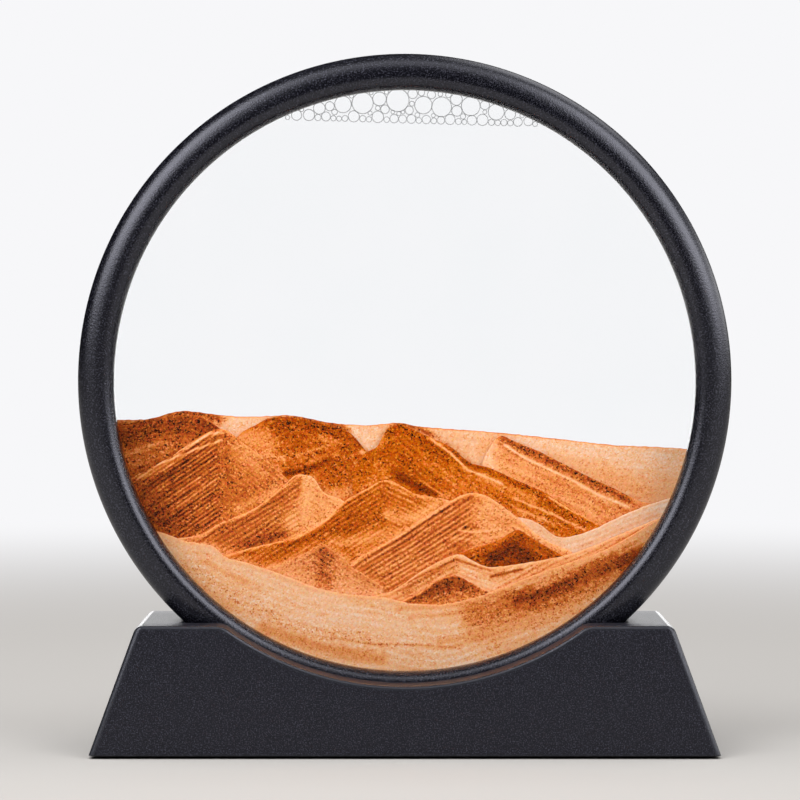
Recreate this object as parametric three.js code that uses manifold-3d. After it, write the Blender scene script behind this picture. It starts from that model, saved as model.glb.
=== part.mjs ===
// A moving sand art frame: a round glass cell of water and coloured sand in a black ring,
// which stands in the groove of a black stand. The ring lifts out of the groove and turns.
// Lengths are millimetres. X runs to the right, Y to the back and Z up, and the origin lies
// on the table under the middle of the stand.

import * as THREE from "three";
import { mergeVertices, toCreasedNormals } from "three/addons/utils/BufferGeometryUtils.js";
import Module from "manifold-3d";

const wasm = await Module();
wasm.setup();

// Fits
const CLEARANCE = 0.3; // between pieces that are put together
const CUT_PAST = 1; // how far a cutting body runs past the face that it opens

// Glass cell
const WINDOW_RADIUS = 80; // the round opening that is seen from the front
const PANE_OVERLAP = 3.6; // rim of each pane that the ring covers
const PANE_THICKNESS = 2.5;
const PANE_GAP = 8; // between the two panes
const GASKET_THICKNESS = 0.5;
const SPACER_SETBACK = 1.2; // how far the spacer stays out of the window
const PORT_RADIUS = 2; // filling port through the spacer
const PLUG_HEAD_RADIUS = 3.1;
const WATER_FILM = 0.5; // clear liquid between the front pane and the sand
const SAND_PARTING = 0.02; // between one body of sand and the next

// Ring frame
const EDGE_BAND_THICKNESS = 1.9;
const RING_WALL = 2.4;
const RING_ROUNDING = 5.2; // round of the ring's front and back outer edges
const TONGUE_THICKNESS = 1.2; // lip of the rear half that locates the front half
const TONGUE_REACH = 4;
const TONGUE_ROOT = 3;
const LIP_EDGE = 1.4; // straight edge of the opening, next to the pane
const BEVEL_WIDTH = 3; // sloping facet round the opening, across
const BEVEL_DEPTH = 3.6; // the same facet, front to back
const REAR_BEVEL_WIDTH = 1.3; // facet round the rear opening, which is wider and so stays out of sight
const CREST_RISE = 0.7; // from the facet to the foremost line of the ring
const SEAM_CHAMFER = 0.4; // each half's share of the fine groove where the halves meet

// Stand
const STAND_WIDTH = 172; // at the bottom
const STAND_TOP_WIDTH = 146;
const STAND_HEIGHT = 35.4; // of the moulding, without the feet
const STAND_DEPTH = 46;
const STAND_WALL = 2.4;
const STAND_EDGE = 1.2; // rounding of the front and back edges
const STAND_CORNER = 1.6; // rounding of the two upper corners
const SEAT_HEIGHT = 11.2; // from the bottom of the moulding to the groove's lowest point
const LIP_COVER = 7.5; // how far the stand's lips rise over the ring's outside
const LIP_SHOULDER = 6; // rounding where each lip meets the flat top
const FLOOR_THICKNESS = 2;
const FOOT_RADIUS = 5;
const FOOT_HEIGHT = 2;
const FOOT_PROUD = 0.8; // how far the feet stand out below the moulding
const FOOT_INSET_X = 13; // from the end of the stand to the middle of a foot
const FOOT_INSET_Y = 9.5; // from the front or back of the stand to the middle of a foot
const BOSS_RADIUS = 3.2;
const BOSS_INSET_X = 22; // from the end of the stand to the middle of a screw
const BOSS_INSET_Y = 8; // from the front or back of the stand to the middle of a screw
const SCREW_RADIUS = 1.2;
const SCREW_LENGTH = 10;
const SCREW_HEAD_RADIUS = 2.4;
const SCREW_HEAD_HEIGHT = 1.3;
const SCREW_SLOT_LENGTH = 3.4;
const SCREW_SLOT_WIDTH = 0.7;
const SCREW_SLOT_DEPTH = 0.6;

// Faceting
const RING_SIDES = 60; // sides of everything that is concentric with the ring
const ROUND_SIDES = 16; // sides of feet, screws and bosses
const ARC_STEPS = 5; // steps in a rounding that shows
const EDGE_STEPS = 2; // steps in a fine or hidden rounding
const CRADLE_STEPS = 20; // steps in the long arc of the cradle
const CREST_STEPS = 2; // steps between two points of a dune's crest
const BUBBLE_SIDES = 8;

// The dunes from the back of the cell to the front. Crests run from left to right and are given in
// hundredths of the window's radius from the ring's centre, so that the sand fills a cell of any size.
const DUNES = [
  { name: "sand_skyline", colour: 0xe8b488, crest: [
    [-107, -13.5], [-91, -13.5], [-84.5, -12], [-78, -10.5], [-71, -11], [-64, -12], [-53, -12.5],
    [-41.5, -12], [-36.5, -12.5], [-29.5, -14], [-22.5, -15], [-12, -15.5], [-2, -14.5], [5, -16],
    [19, -17], [32.5, -18], [46.5, -19.5], [60, -21], [74, -22.5], [88, -23], [107, -24.5]] },
  { name: "sand_west_hill", colour: 0x7a3a18, crest: [
    [-107, -17], [-91.5, -14.5], [-84.5, -13], [-78, -12], [-71.5, -12.5], [-67.5, -14.5],
    [-63.5, -17.5], [-58, -23], [-52, -31.5]] },
  { name: "sand_saddle_hill", colour: 0x9a4a1c, crest: [
    [-61, -23.5], [-57, -18], [-52, -15.5], [-47.5, -13], [-41.5, -12.5], [-36.5, -13], [-30, -14.5],
    [-24.5, -16], [-19, -18], [-15, -22.5], [-12, -26.5], [-8, -34.5]] },
  { name: "sand_east_slope", colour: 0xd9853f, crest: [
    [27, -28.5], [30, -22.5], [33.5, -19], [38, -21], [48, -25], [53.5, -28], [63.5, -33], [74, -38],
    [81, -41.5], [89.5, -43.5], [102, -46]] },
  { name: "sand_centre_hill", colour: 0xb8622a, crest: [
    [-18.5, -32], [-15, -26], [-11.5, -24], [-9.5, -23], [-8, -20], [-6.5, -17], [-4.5, -16], [-2, -15],
    [2, -16.5], [6.5, -18.5], [12, -21], [17, -23.5], [20.5, -27], [24, -29], [29, -30], [34.5, -32.5],
    [44.5, -37], [50, -39.5], [60, -46], [67, -50], [75.5, -54]] },
  { name: "sand_left_dune", colour: 0xc06a2e, crest: [
    [-107, -40], [-96.5, -34.5], [-88, -30], [-81, -26], [-74.5, -21.5], [-71, -19], [-67.5, -17.5],
    [-64, -16.5], [-60.5, -18], [-57, -21], [-50, -26], [-43.5, -31.5], [-36.5, -39], [-32, -44.5]] },
  { name: "sand_left_ridge", colour: 0xd07a38, crest: [
    [-107, -61], [-83, -55.5], [-71, -53.5], [-65.5, -50], [-55.5, -46], [-51, -43.5], [-47.5, -41],
    [-44, -38], [-39, -33.5], [-36.5, -32.5], [-33, -33], [-31, -34.5], [-28, -39], [-22.5, -41],
    [-15.5, -46]] },
  { name: "sand_middle_ridge", colour: 0xd98643, crest: [
    [-69, -63], [-53.5, -58], [-41.5, -55.5], [-36.5, -53.5], [-29.5, -50], [-26, -47], [-22.5, -43.5],
    [-19, -40.5], [-12, -37], [-9.5, -35], [-6, -34.5], [-3.5, -35], [2, -38.5], [5, -39.5],
    [15.5, -41.5], [24, -46]] },
  { name: "sand_east_flat", colour: 0xf0c39c, crest: [
    [29, -58], [34.5, -52], [38, -48], [41, -47.5], [46.5, -49.5], [51.5, -53.5], [55, -54.5],
    [60, -53.5], [67, -51], [74, -47.5], [81, -44.5], [89.5, -41.5], [105.5, -37.5]] },
  { name: "sand_long_ridge", colour: 0xd07834, crest: [
    [-28, -72.5], [-21, -66], [-15.5, -61], [-10.5, -58.5], [-2, -53.5], [6.5, -47.5], [12, -44],
    [16, -41.5], [22, -39], [25.5, -39], [29, -40], [32.5, -42.5], [38, -46.5], [45, -52.5], [50, -56],
    [58.5, -59.5]] },
  { name: "sand_dark_peak", colour: 0x4a2410, crest: [
    [12, -64.5], [19, -60], [25.5, -57.5], [31, -56], [35.5, -53.5], [39, -51.5], [43, -53.5],
    [46.5, -56], [52, -59], [58.5, -62.5]] },
  { name: "sand_small_dune", colour: 0x8a5230, crest: [
    [-58, -71.5], [-48.5, -65], [-40, -62.5], [-33, -59], [-28, -57], [-24.5, -59.5], [-18.5, -64.5],
    [-14, -67], [-7, -72]] },
  { name: "sand_front_ridge", colour: 0xe0a06a, crest: [
    [-22.5, -80], [-10.5, -74.5], [-6, -73.5], [-2, -71.5], [6.5, -65.5], [11, -63], [18, -60],
    [21.5, -61], [25, -63], [29, -64.5], [36, -64], [53.5, -61], [63.5, -58], [74, -53.5], [98, -43.5]] },
  { name: "sand_front_knoll", colour: 0x8c4418, crest: [
    [-9, -81], [0, -76], [5, -73.5], [9, -70.5], [13.5, -68], [18, -67.5], [21.5, -69], [25, -71],
    [30, -73.5], [38, -75.5]] },
  { name: "sand_bed", colour: 0xf2c8a2, crest: [
    [-107, -50.5], [-95, -50.5], [-85.5, -52], [-76, -55.5], [-66.5, -57], [-62.5, -61], [-54.5, -63],
    [-40, -68], [-29.5, -72], [-19, -74], [-7, -75], [1.5, -77], [12, -77.5], [20.5, -76], [29, -73.5],
    [48, -66], [60, -62], [70.5, -58], [81, -52], [98, -41.5]] },
];

// Rows of bubbles under the top of the cell: how far a row's middle lies below the top, and the radii
// that its bubbles take in turn, all as multiples of one bubble radius
const BUBBLE_RADIUS = 2;
const BUBBLE_OVERLAP = 0.1; // share by which neighbouring bubbles press into each other
const BUBBLE_ROWS = [
  { drop: 1.3, radii: [0.6, 0.85, 0.65, 1.2, 0.6, 1.3, 0.7, 0.9, 0.65] },
  { drop: 2.9, radii: [
    0.75, 0.85, 0.75, 1.4, 0.55, 1.25, 0.6, 1.5, 1.35, 1.2, 0.5, 1.15, 0.85, 0.6, 1.1, 0.6, 0.8] },
  { drop: 4.4, radii: [
    0.55, 0.85, 0.9, 0.95, 0.45, 0.5, 0.45, 0.75, 0.5, 0.6, 0.9, 0.75, 0.5, 0.45, 0.85, 0.55, 0.75] },
];

// Radii of the ring from the window outwards
const PANE_RADIUS = WINDOW_RADIUS + PANE_OVERLAP;
const SPACER_INNER = WINDOW_RADIUS + SPACER_SETBACK;
const SPACER_OUTER = PANE_RADIUS - CLEARANCE;
const CELL_RADIUS = SPACER_INNER - CLEARANCE;
const BAND_INNER = PANE_RADIUS + CLEARANCE;
const BAND_OUTER = BAND_INNER + EDGE_BAND_THICKNESS;
const TONGUE_INNER = BAND_OUTER + CLEARANCE;
const TONGUE_OUTER = TONGUE_INNER + TONGUE_THICKNESS;
const RING_INNER = TONGUE_OUTER + CLEARANCE;
const RING_RADIUS = RING_INNER + RING_WALL;

// Depths of the ring from its middle plane outwards
const PANE_INSIDE = PANE_GAP / 2;
const PANE_OUTSIDE = PANE_INSIDE + PANE_THICKNESS;
const SPACER_SIDE = PANE_INSIDE - GASKET_THICKNESS;
const LIP_BACK = PANE_OUTSIDE + CLEARANCE;
const BEVEL_BACK = LIP_BACK + LIP_EDGE;
const BEVEL_FRONT = BEVEL_BACK + BEVEL_DEPTH;
const RING_HALF = BEVEL_FRONT + CREST_RISE;
const WATER_FRONT = CLEARANCE - PANE_INSIDE;
const SAND_FRONT = WATER_FRONT + WATER_FILM + CLEARANCE;
const SAND_BACK = PANE_INSIDE - CLEARANCE;

// Heights of the stand from the table upwards
const STAND_BOTTOM = FOOT_PROUD;
const STAND_TOP = STAND_BOTTOM + STAND_HEIGHT;
const FLOOR_TOP = STAND_BOTTOM + FLOOR_THICKNESS;
const RING_HEIGHT = STAND_BOTTOM + SEAT_HEIGHT + CLEARANCE + RING_RADIUS;
const CRADLE_RADIUS = RING_RADIUS - LIP_COVER;
const FOOT_X = STAND_WIDTH / 2 - FOOT_INSET_X;
const FOOT_Y = STAND_DEPTH / 2 - FOOT_INSET_Y;
const BOSS_X = STAND_WIDTH / 2 - BOSS_INSET_X;
const BOSS_Y = STAND_DEPTH / 2 - BOSS_INSET_Y;

const CORNERS = [
  { name: "front_left", x: -1, y: -1 },
  { name: "front_right", x: 1, y: -1 },
  { name: "rear_left", x: -1, y: 1 },
  { name: "rear_right", x: 1, y: 1 },
];

// Finishes
const blackPlastic = finish(0x26262a, 0.45);
const floorPlastic = finish(0x1c1c1f, 0.6);
const glass = finish(0xe6f0f0, 0.05);
const silicone = finish(0xd8dad6, 0.6);
const acrylic = finish(0xc9ced0, 0.25);
const rubber = finish(0x161616, 0.85);
const steel = finish(0x9a9c9e, 0.35, 1);
const clearWater = finish(0xdcebee, 0.02);
const air = finish(0xf4f7f7, 0.05);
const SAND_ROUGHNESS = 0.95;

function finish(color, roughness, metalness = 0) {
  return new THREE.MeshStandardMaterial({ color, roughness, metalness });
}

// Turns a closed geometry into a solid that can be joined and cut
function solid(geometry) {
  const bare = new THREE.BufferGeometry();
  bare.setAttribute("position", geometry.getAttribute("position"));
  bare.setIndex(geometry.getIndex());
  const merged = mergeVertices(bare);
  const vertProperties = new Float32Array(merged.getAttribute("position").array);
  const triVerts = new Uint32Array(merged.getIndex().array);
  return new wasm.Manifold(new wasm.Mesh({ numProp: 3, vertProperties, triVerts }));
}

// Turns a solid back into a geometry with crisp edges
function geometryOf(body) {
  const mesh = body.getMesh();
  const geometry = new THREE.BufferGeometry();
  geometry.setAttribute("position", new THREE.BufferAttribute(mesh.vertProperties, 3));
  geometry.setIndex(new THREE.BufferAttribute(mesh.triVerts, 1));
  return toCreasedNormals(geometry);
}

function piece(name, geometry, material) {
  const mesh = new THREE.Mesh(geometry, material);
  mesh.name = name;
  return mesh;
}

// A closed profile of [radius, depth] points turned once about the Y axis
function turned(profile, sides = RING_SIDES) {
  const points = profile.map(([radius, depth]) => new THREE.Vector2(radius, depth));
  if (THREE.ShapeUtils.area(points) < 0) {
    points.reverse();
  }
  points.push(points[0].clone());
  return new THREE.LatheGeometry(points, sides);
}

// A disc or short cylinder along Y, between two depths
function disc(radius, front, back, sides = RING_SIDES) {
  const geometry = new THREE.CylinderGeometry(radius, radius, back - front, sides);
  return geometry.translate(0, (front + back) / 2, 0);
}

// A round post along Z, between two heights
function post(radius, bottom, top, lowerRadius = radius) {
  const geometry = new THREE.CylinderGeometry(radius, lowerRadius, top - bottom, ROUND_SIDES);
  return geometry.rotateX(Math.PI / 2).translate(0, 0, (bottom + top) / 2);
}

// An outline of [x, z] points made solid between two depths, with its front and back edges rounded
function slab(outline, front, back, rounding = 0) {
  const shape = new THREE.Shape(outline.map(([x, z]) => new THREE.Vector2(x, z)));
  const geometry = new THREE.ExtrudeGeometry(shape, {
    depth: back - front - 2 * rounding,
    bevelEnabled: rounding > 0,
    bevelThickness: rounding,
    bevelSize: rounding,
    bevelOffset: -rounding,
    bevelSegments: EDGE_STEPS,
  });
  return geometry.rotateX(Math.PI / 2).translate(0, back - rounding, 0);
}

function arc(x, z, radius, from, to, steps) {
  const points = [];
  for (let step = 0; step <= steps; step += 1) {
    const angle = from + ((to - from) * step) / steps;
    points.push([x + radius * Math.cos(angle), z + radius * Math.sin(angle)]);
  }
  return points;
}

// One half of the ring, in section. side is -1 for the front half and 1 for the rear half, which
// also has the tongue.
function ringHalf(side, bevelWidth, hasTongue) {
  const bevelEnd = WINDOW_RADIUS + BEVEL_WIDTH;
  const roundMiddle = RING_RADIUS - RING_ROUNDING;
  const roundDepth = RING_HALF - RING_ROUNDING;
  const insideRound = Math.max(RING_ROUNDING - RING_WALL, CLEARANCE);
  const hollowEnd = RING_HALF - RING_WALL;
  const outside = arc(roundMiddle, roundDepth, RING_ROUNDING, Math.PI / 2, 0, ARC_STEPS);
  const insideMiddle = RING_INNER - insideRound;
  const inside = arc(insideMiddle, hollowEnd - insideRound, insideRound, 0, Math.PI / 2, EDGE_STEPS);
  const plainJoint = [[RING_INNER, 0]];
  const tongueJoint = [
    [TONGUE_OUTER, 0],
    [TONGUE_OUTER, -TONGUE_REACH],
    [TONGUE_INNER, -TONGUE_REACH],
    [TONGUE_INNER, TONGUE_ROOT],
    [RING_INNER, TONGUE_ROOT + RING_INNER - TONGUE_INNER],
  ];
  const profile = [
    [bevelEnd - bevelWidth, LIP_BACK],
    [bevelEnd - bevelWidth, BEVEL_BACK],
    [bevelEnd, BEVEL_FRONT],
    ...outside,
    [RING_RADIUS, SEAM_CHAMFER],
    [RING_RADIUS - SEAM_CHAMFER, 0],
    ...(hasTongue ? tongueJoint : plainJoint),
    ...inside,
    [BAND_INNER, hollowEnd],
    [BAND_INNER, LIP_BACK],
  ];
  return turned(profile.map(([radius, depth]) => [radius, side * depth]));
}

// Half the stand's width at a height, drawn inwards by inset, square to its leaning end
function standHalfWidth(height, inset) {
  const lean = (STAND_WIDTH - STAND_TOP_WIDTH) / 2 / STAND_HEIGHT;
  return STAND_WIDTH / 2 - (height - STAND_BOTTOM) * lean - inset * Math.hypot(1, lean);
}

// The stand seen from the front, drawn inwards from its true outline by inset
function standOutline(inset, bottom) {
  const top = STAND_TOP - inset;
  const topEnd = standHalfWidth(top, inset);
  const cornerStart = new THREE.Vector2(standHalfWidth(top - STAND_CORNER, inset), top - STAND_CORNER);
  const cornerEnd = new THREE.Vector2(topEnd - STAND_CORNER, top);
  const corner = new THREE.QuadraticBezierCurve(cornerStart, new THREE.Vector2(topEnd, top), cornerEnd);
  const shoulder = LIP_SHOULDER - inset;
  const shoulderZ = STAND_TOP - LIP_SHOULDER;
  const shoulderX = Math.sqrt((CRADLE_RADIUS + LIP_SHOULDER) ** 2 - (RING_HEIGHT - shoulderZ) ** 2);
  const turn = Math.atan2(RING_HEIGHT - shoulderZ, -shoulderX);
  const cradleEnd = turn - Math.PI;
  const rightEnd = [
    [standHalfWidth(bottom, inset), bottom],
    ...corner.getPoints(EDGE_STEPS).map((point) => [point.x, point.y]),
  ];
  const leftEnd = rightEnd.map(([x, z]) => [-x, z]).reverse();
  return [
    ...rightEnd,
    ...arc(shoulderX, shoulderZ, shoulder, Math.PI / 2, turn, ARC_STEPS),
    ...arc(0, RING_HEIGHT, CRADLE_RADIUS + inset, cradleEnd, -Math.PI - cradleEnd, CRADLE_STEPS).slice(1, -1),
    ...arc(-shoulderX, shoulderZ, shoulder, Math.PI - turn, Math.PI / 2, ARC_STEPS),
    ...leftEnd,
  ];
}

// A body of the ring's own outline, larger all round by extra, for the groove and for its walls
function ringEnvelope(extra) {
  const half = RING_HALF + extra;
  return solid(disc(RING_RADIUS + extra, -half, half).translate(0, 0, RING_HEIGHT));
}

function baseShell() {
  const half = STAND_DEPTH / 2;
  const outer = solid(slab(standOutline(0, STAND_BOTTOM), -half, half, STAND_EDGE));
  const hollowOutline = standOutline(STAND_WALL, STAND_BOTTOM - CUT_PAST);
  let hollow = solid(slab(hollowOutline, STAND_WALL - half, half - STAND_WALL));
  hollow = hollow.subtract(ringEnvelope(CLEARANCE + STAND_WALL));
  for (const corner of CORNERS) {
    const boss = post(BOSS_RADIUS, FLOOR_TOP + CLEARANCE, STAND_TOP);
    hollow = hollow.subtract(solid(boss.translate(corner.x * BOSS_X, corner.y * BOSS_Y, 0)));
  }
  let shell = outer.subtract(hollow).subtract(ringEnvelope(CLEARANCE));
  for (const corner of CORNERS) {
    const screwEnd = STAND_BOTTOM + SCREW_LENGTH + CLEARANCE;
    const pilot = post(SCREW_RADIUS + CLEARANCE, FLOOR_TOP, screwEnd);
    shell = shell.subtract(solid(pilot.translate(corner.x * BOSS_X, corner.y * BOSS_Y, 0)));
  }
  return geometryOf(shell);
}

function baseFloor() {
  const halfWidth = standHalfWidth(FLOOR_TOP, STAND_WALL + CLEARANCE);
  const halfDepth = STAND_DEPTH / 2 - STAND_WALL - CLEARANCE;
  const plate = new THREE.BoxGeometry(2 * halfWidth, 2 * halfDepth, FLOOR_THICKNESS);
  let floor = solid(plate.translate(0, 0, STAND_BOTTOM + FLOOR_THICKNESS / 2));
  const headHole = SCREW_HEAD_RADIUS + CLEARANCE;
  const shankHole = SCREW_RADIUS + CLEARANCE;
  const countersink = [STAND_BOTTOM, STAND_BOTTOM + SCREW_HEAD_HEIGHT + CLEARANCE];
  for (const corner of CORNERS) {
    const screwPlace = [corner.x * BOSS_X, corner.y * BOSS_Y, 0];
    const footPlace = [corner.x * FOOT_X, corner.y * FOOT_Y, 0];
    const shank = post(shankHole, STAND_BOTTOM - CUT_PAST, FLOOR_TOP + CUT_PAST);
    const head = post(shankHole, ...countersink, headHole);
    const recess = post(FOOT_RADIUS + CLEARANCE, STAND_BOTTOM - CUT_PAST, FOOT_HEIGHT + CLEARANCE);
    floor = floor.subtract(solid(shank.translate(...screwPlace)));
    floor = floor.subtract(solid(head.translate(...screwPlace)));
    floor = floor.subtract(solid(recess.translate(...footPlace)));
  }
  return geometryOf(floor);
}

// A countersunk screw with a crossed slot, head downwards
function floorScrew() {
  const headTop = STAND_BOTTOM + SCREW_HEAD_HEIGHT;
  const shank = solid(post(SCREW_RADIUS, STAND_BOTTOM, STAND_BOTTOM + SCREW_LENGTH));
  let screw = shank.add(solid(post(SCREW_RADIUS, STAND_BOTTOM, headTop, SCREW_HEAD_RADIUS)));
  for (const turn of [0, Math.PI / 2]) {
    const slot = new THREE.BoxGeometry(SCREW_SLOT_LENGTH, SCREW_SLOT_WIDTH, 2 * SCREW_SLOT_DEPTH);
    screw = screw.subtract(solid(slot.rotateZ(turn).translate(0, 0, STAND_BOTTOM)));
  }
  return geometryOf(screw);
}

function spacerRing() {
  const ring = solid(turned([
    [SPACER_INNER, -SPACER_SIDE],
    [SPACER_OUTER, -SPACER_SIDE],
    [SPACER_OUTER, SPACER_SIDE],
    [SPACER_INNER, SPACER_SIDE],
  ]));
  return geometryOf(ring.subtract(solid(post(PORT_RADIUS + CLEARANCE, 0, RING_RADIUS))));
}

function gasket(inside, outside) {
  return turned([
    [SPACER_INNER, inside],
    [SPACER_OUTER, inside],
    [SPACER_OUTER, outside],
    [SPACER_INNER, outside],
  ]);
}

function edgeBand() {
  const band = solid(turned([
    [BAND_INNER, -PANE_OUTSIDE],
    [BAND_OUTER, -PANE_OUTSIDE],
    [BAND_OUTER, PANE_OUTSIDE],
    [BAND_INNER, PANE_OUTSIDE],
  ]));
  return geometryOf(band.subtract(solid(post(PLUG_HEAD_RADIUS + CLEARANCE, 0, RING_RADIUS))));
}

function fillPlug() {
  const headBottom = SPACER_OUTER + CLEARANCE;
  const head = solid(post(PLUG_HEAD_RADIUS, headBottom, BAND_OUTER));
  return geometryOf(head.add(solid(post(PORT_RADIUS, SPACER_INNER, headBottom + CLEARANCE))));
}

// A dune is all the sand under its crest, down to the cell's round bottom
function dune(crest, front, back) {
  const unit = WINDOW_RADIUS / 100;
  const curve = new THREE.SplineCurve(crest.map(([x, z]) => new THREE.Vector2(x * unit, z * unit)));
  const outline = curve.getPoints(CREST_STEPS * (crest.length - 1)).map((point) => [point.x, point.y]);
  const below = -RING_RADIUS;
  outline.push([outline.at(-1)[0], below], [outline[0][0], below]);
  const body = solid(slab(outline, front, back));
  return geometryOf(body.intersect(solid(disc(CELL_RADIUS, front - CUT_PAST, back + CUT_PAST))));
}

// Bubbles float side by side in rows, pressed against each other under the top of the cell
function bubbleRaft() {
  let raft = null;
  for (const row of BUBBLE_ROWS) {
    const height = CELL_RADIUS - row.drop * BUBBLE_RADIUS;
    const radii = row.radii.map((share) => share * BUBBLE_RADIUS);
    const reach = Math.sqrt(CELL_RADIUS ** 2 - height ** 2);
    let x = radii[0] - reach;
    for (let count = 0; x < reach - radii[0]; count += 1) {
      const radius = radii[count % radii.length];
      const next = radii[(count + 1) % radii.length];
      const bubble = solid(disc(radius, SAND_FRONT, -SAND_FRONT, BUBBLE_SIDES).translate(x, 0, height));
      raft = raft ? raft.add(bubble) : bubble;
      x += (radius + next) * (1 - BUBBLE_OVERLAP);
    }
  }
  return geometryOf(raft.intersect(solid(disc(CELL_RADIUS, -PANE_GAP, PANE_GAP))));
}

// The ring frame with its glass cell, about the ring's own centre
function frameGroup() {
  const frame = new THREE.Group();
  frame.add(piece("front_ring", ringHalf(-1, BEVEL_WIDTH, false), blackPlastic));
  frame.add(piece("rear_ring", ringHalf(1, REAR_BEVEL_WIDTH, true), blackPlastic));
  frame.add(piece("edge_band", edgeBand(), rubber));
  frame.add(piece("front_pane", disc(PANE_RADIUS, -PANE_OUTSIDE, -PANE_INSIDE), glass));
  frame.add(piece("rear_pane", disc(PANE_RADIUS, PANE_INSIDE, PANE_OUTSIDE), glass));
  frame.add(piece("spacer_ring", spacerRing(), acrylic));
  frame.add(piece("front_gasket", gasket(-PANE_INSIDE, -SPACER_SIDE), silicone));
  frame.add(piece("rear_gasket", gasket(SPACER_SIDE, PANE_INSIDE), silicone));
  frame.add(piece("fill_plug", fillPlug(), rubber));
  frame.add(piece("water", disc(CELL_RADIUS, WATER_FRONT, WATER_FRONT + WATER_FILM), clearWater));
  const layer = (SAND_BACK - SAND_FRONT) / DUNES.length;
  DUNES.forEach(({ name, colour, crest }, place) => {
    const back = SAND_BACK - place * layer;
    const front = back - layer + SAND_PARTING;
    frame.add(piece(name, dune(crest, front, back), finish(colour, SAND_ROUGHNESS)));
  });
  frame.add(piece("bubble_raft", bubbleRaft(), air));
  frame.position.z = RING_HEIGHT;
  return frame;
}

function standGroup() {
  const stand = new THREE.Group();
  stand.add(piece("base_shell", baseShell(), blackPlastic));
  stand.add(piece("base_floor", baseFloor(), floorPlastic));
  const screw = floorScrew();
  const foot = post(FOOT_RADIUS, 0, FOOT_HEIGHT);
  for (const corner of CORNERS) {
    const screwPiece = piece(`floor_screw_${corner.name}`, screw, steel);
    screwPiece.position.set(corner.x * BOSS_X, corner.y * BOSS_Y, 0);
    const footPiece = piece(`foot_${corner.name}`, foot, rubber);
    footPiece.position.set(corner.x * FOOT_X, corner.y * FOOT_Y, 0);
    stand.add(screwPiece, footPiece);
  }
  return stand;
}

const sandArtFrame = new THREE.Group();
sandArtFrame.add(standGroup(), frameGroup());

export default sandArtFrame;
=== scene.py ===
import math
from typing import NamedTuple

import bmesh
import bpy
import numpy as np
from bpy.props import FloatProperty, FloatVectorProperty, PointerProperty
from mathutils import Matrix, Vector


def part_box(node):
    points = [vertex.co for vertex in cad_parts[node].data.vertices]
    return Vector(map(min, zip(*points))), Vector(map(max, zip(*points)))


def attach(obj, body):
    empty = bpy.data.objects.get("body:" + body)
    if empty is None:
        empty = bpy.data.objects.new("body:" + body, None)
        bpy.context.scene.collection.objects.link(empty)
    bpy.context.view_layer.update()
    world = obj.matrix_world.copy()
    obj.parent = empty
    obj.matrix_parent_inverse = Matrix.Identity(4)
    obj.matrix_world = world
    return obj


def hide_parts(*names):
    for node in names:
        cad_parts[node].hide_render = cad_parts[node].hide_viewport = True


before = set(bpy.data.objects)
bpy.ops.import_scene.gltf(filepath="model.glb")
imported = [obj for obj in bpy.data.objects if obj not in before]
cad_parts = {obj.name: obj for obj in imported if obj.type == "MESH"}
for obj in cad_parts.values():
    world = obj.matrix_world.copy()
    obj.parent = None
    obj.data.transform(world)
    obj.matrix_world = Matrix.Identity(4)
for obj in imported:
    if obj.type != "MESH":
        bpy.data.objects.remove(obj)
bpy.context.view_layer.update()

bl_info = {
    "name": "Moving sand art frame",
    "version": (1, 0, 0),
    "blender": (4, 5, 0),
    "location": "3D View > Sidebar > Sand frame",
    "description": "Dresses a round frame of water and coloured sand that turns in a black stand",
    "category": "Object",
}

MM = 0.001
MERGE_DISTANCE = 0.002 * MM

RING_STEPS = 288  # steps round everything that is concentric with the ring
FOOT_STEPS = 48
CORNER_STEPS = 6  # steps in a softened corner
ROUND_STEPS = 28  # steps in each of the ring's rounds
STAND_STATIONS = 361  # cross-sections from one end of the stand to the other
END_STATIONS = 7  # cross-sections in each rounded end of the stand
SETTLING_ROUNDS = 30  # until the heights of a cross-section agree with its place across
RECESS_BRINK = 1e-4  # of the half width, on each side of the recess's end walls
GROOVE_EDGE_SHARE = 0.4  # largest share of the groove's depth that its edges' rounding takes
LEAST_ROUNDING = 0.1 * MM  # of an edge that hands rub, and that gets a painted highlight
RUBBED_HIGHLIT_CORNERS = (1, 2, 5, 6)  # of a cross-section: the long upper edges of the stand and of its groove, rubbed smooth and given a painted highlight
COLUMN_WIDTH = 0.36  # of the dunes' grid, in millimetres
ROW_HEIGHT = 0.26
BACK_ROWS = 130  # of the rearmost dune, whose back shows through the rear pane
NO_COVER = -1e3  # height of a crest that hides nothing
BUBBLE_RINGS = 12
BUBBLE_SECTORS = 24
BUBBLE_DEPTH = 1.1  # of a bubble, front to back, against its width
BUBBLE_STANDOFF = 1.15  # of a bubble's middle from the front of the raft's solid, in its radii
HOOP_EDGE = 0.1 * MM  # softening of the edges of the spacer, the seals and the band
PORT_CORNERS = 1  # per cent of a hoop's corners that may lie further in than its wall, as at the port
PAD_EDGE = 0.5 * MM  # rounding of the feet's lower edge
FLOOR_RADII = (0, 0.3, 0.6, 1.2, 4.0)
FLOOR_STEPS = 96
FLOOR_MELT = (0.3, 1.0)  # distances between which the floor melts into the backdrop
NEAREST_VIEW = 0.01
CLEAR_LAYERS = 24  # clear surfaces that a line of sight may pass
NOISE_SIZE = 64  # corners along each side of a noise table
TINY = 1e-9


def node_points(name):
    """The corner points of one of the frame's solids, in metres."""
    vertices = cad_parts[name].data.vertices
    points = np.empty(len(vertices) * 3, np.float32)
    vertices.foreach_get("co", points)
    return points.reshape(-1, 3).astype(float)


def linear(code):
    """An sRGB hex colour as linear red, green and blue."""
    shares = np.array([int(code[place:place + 2], 16) for place in (1, 3, 5)]) / 255
    return tuple(np.where(shares <= 0.04045, shares / 12.92, ((shares + 0.055) / 1.055) ** 2.4))


def opaque(colour):
    return (*colour, 1.0)


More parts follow.
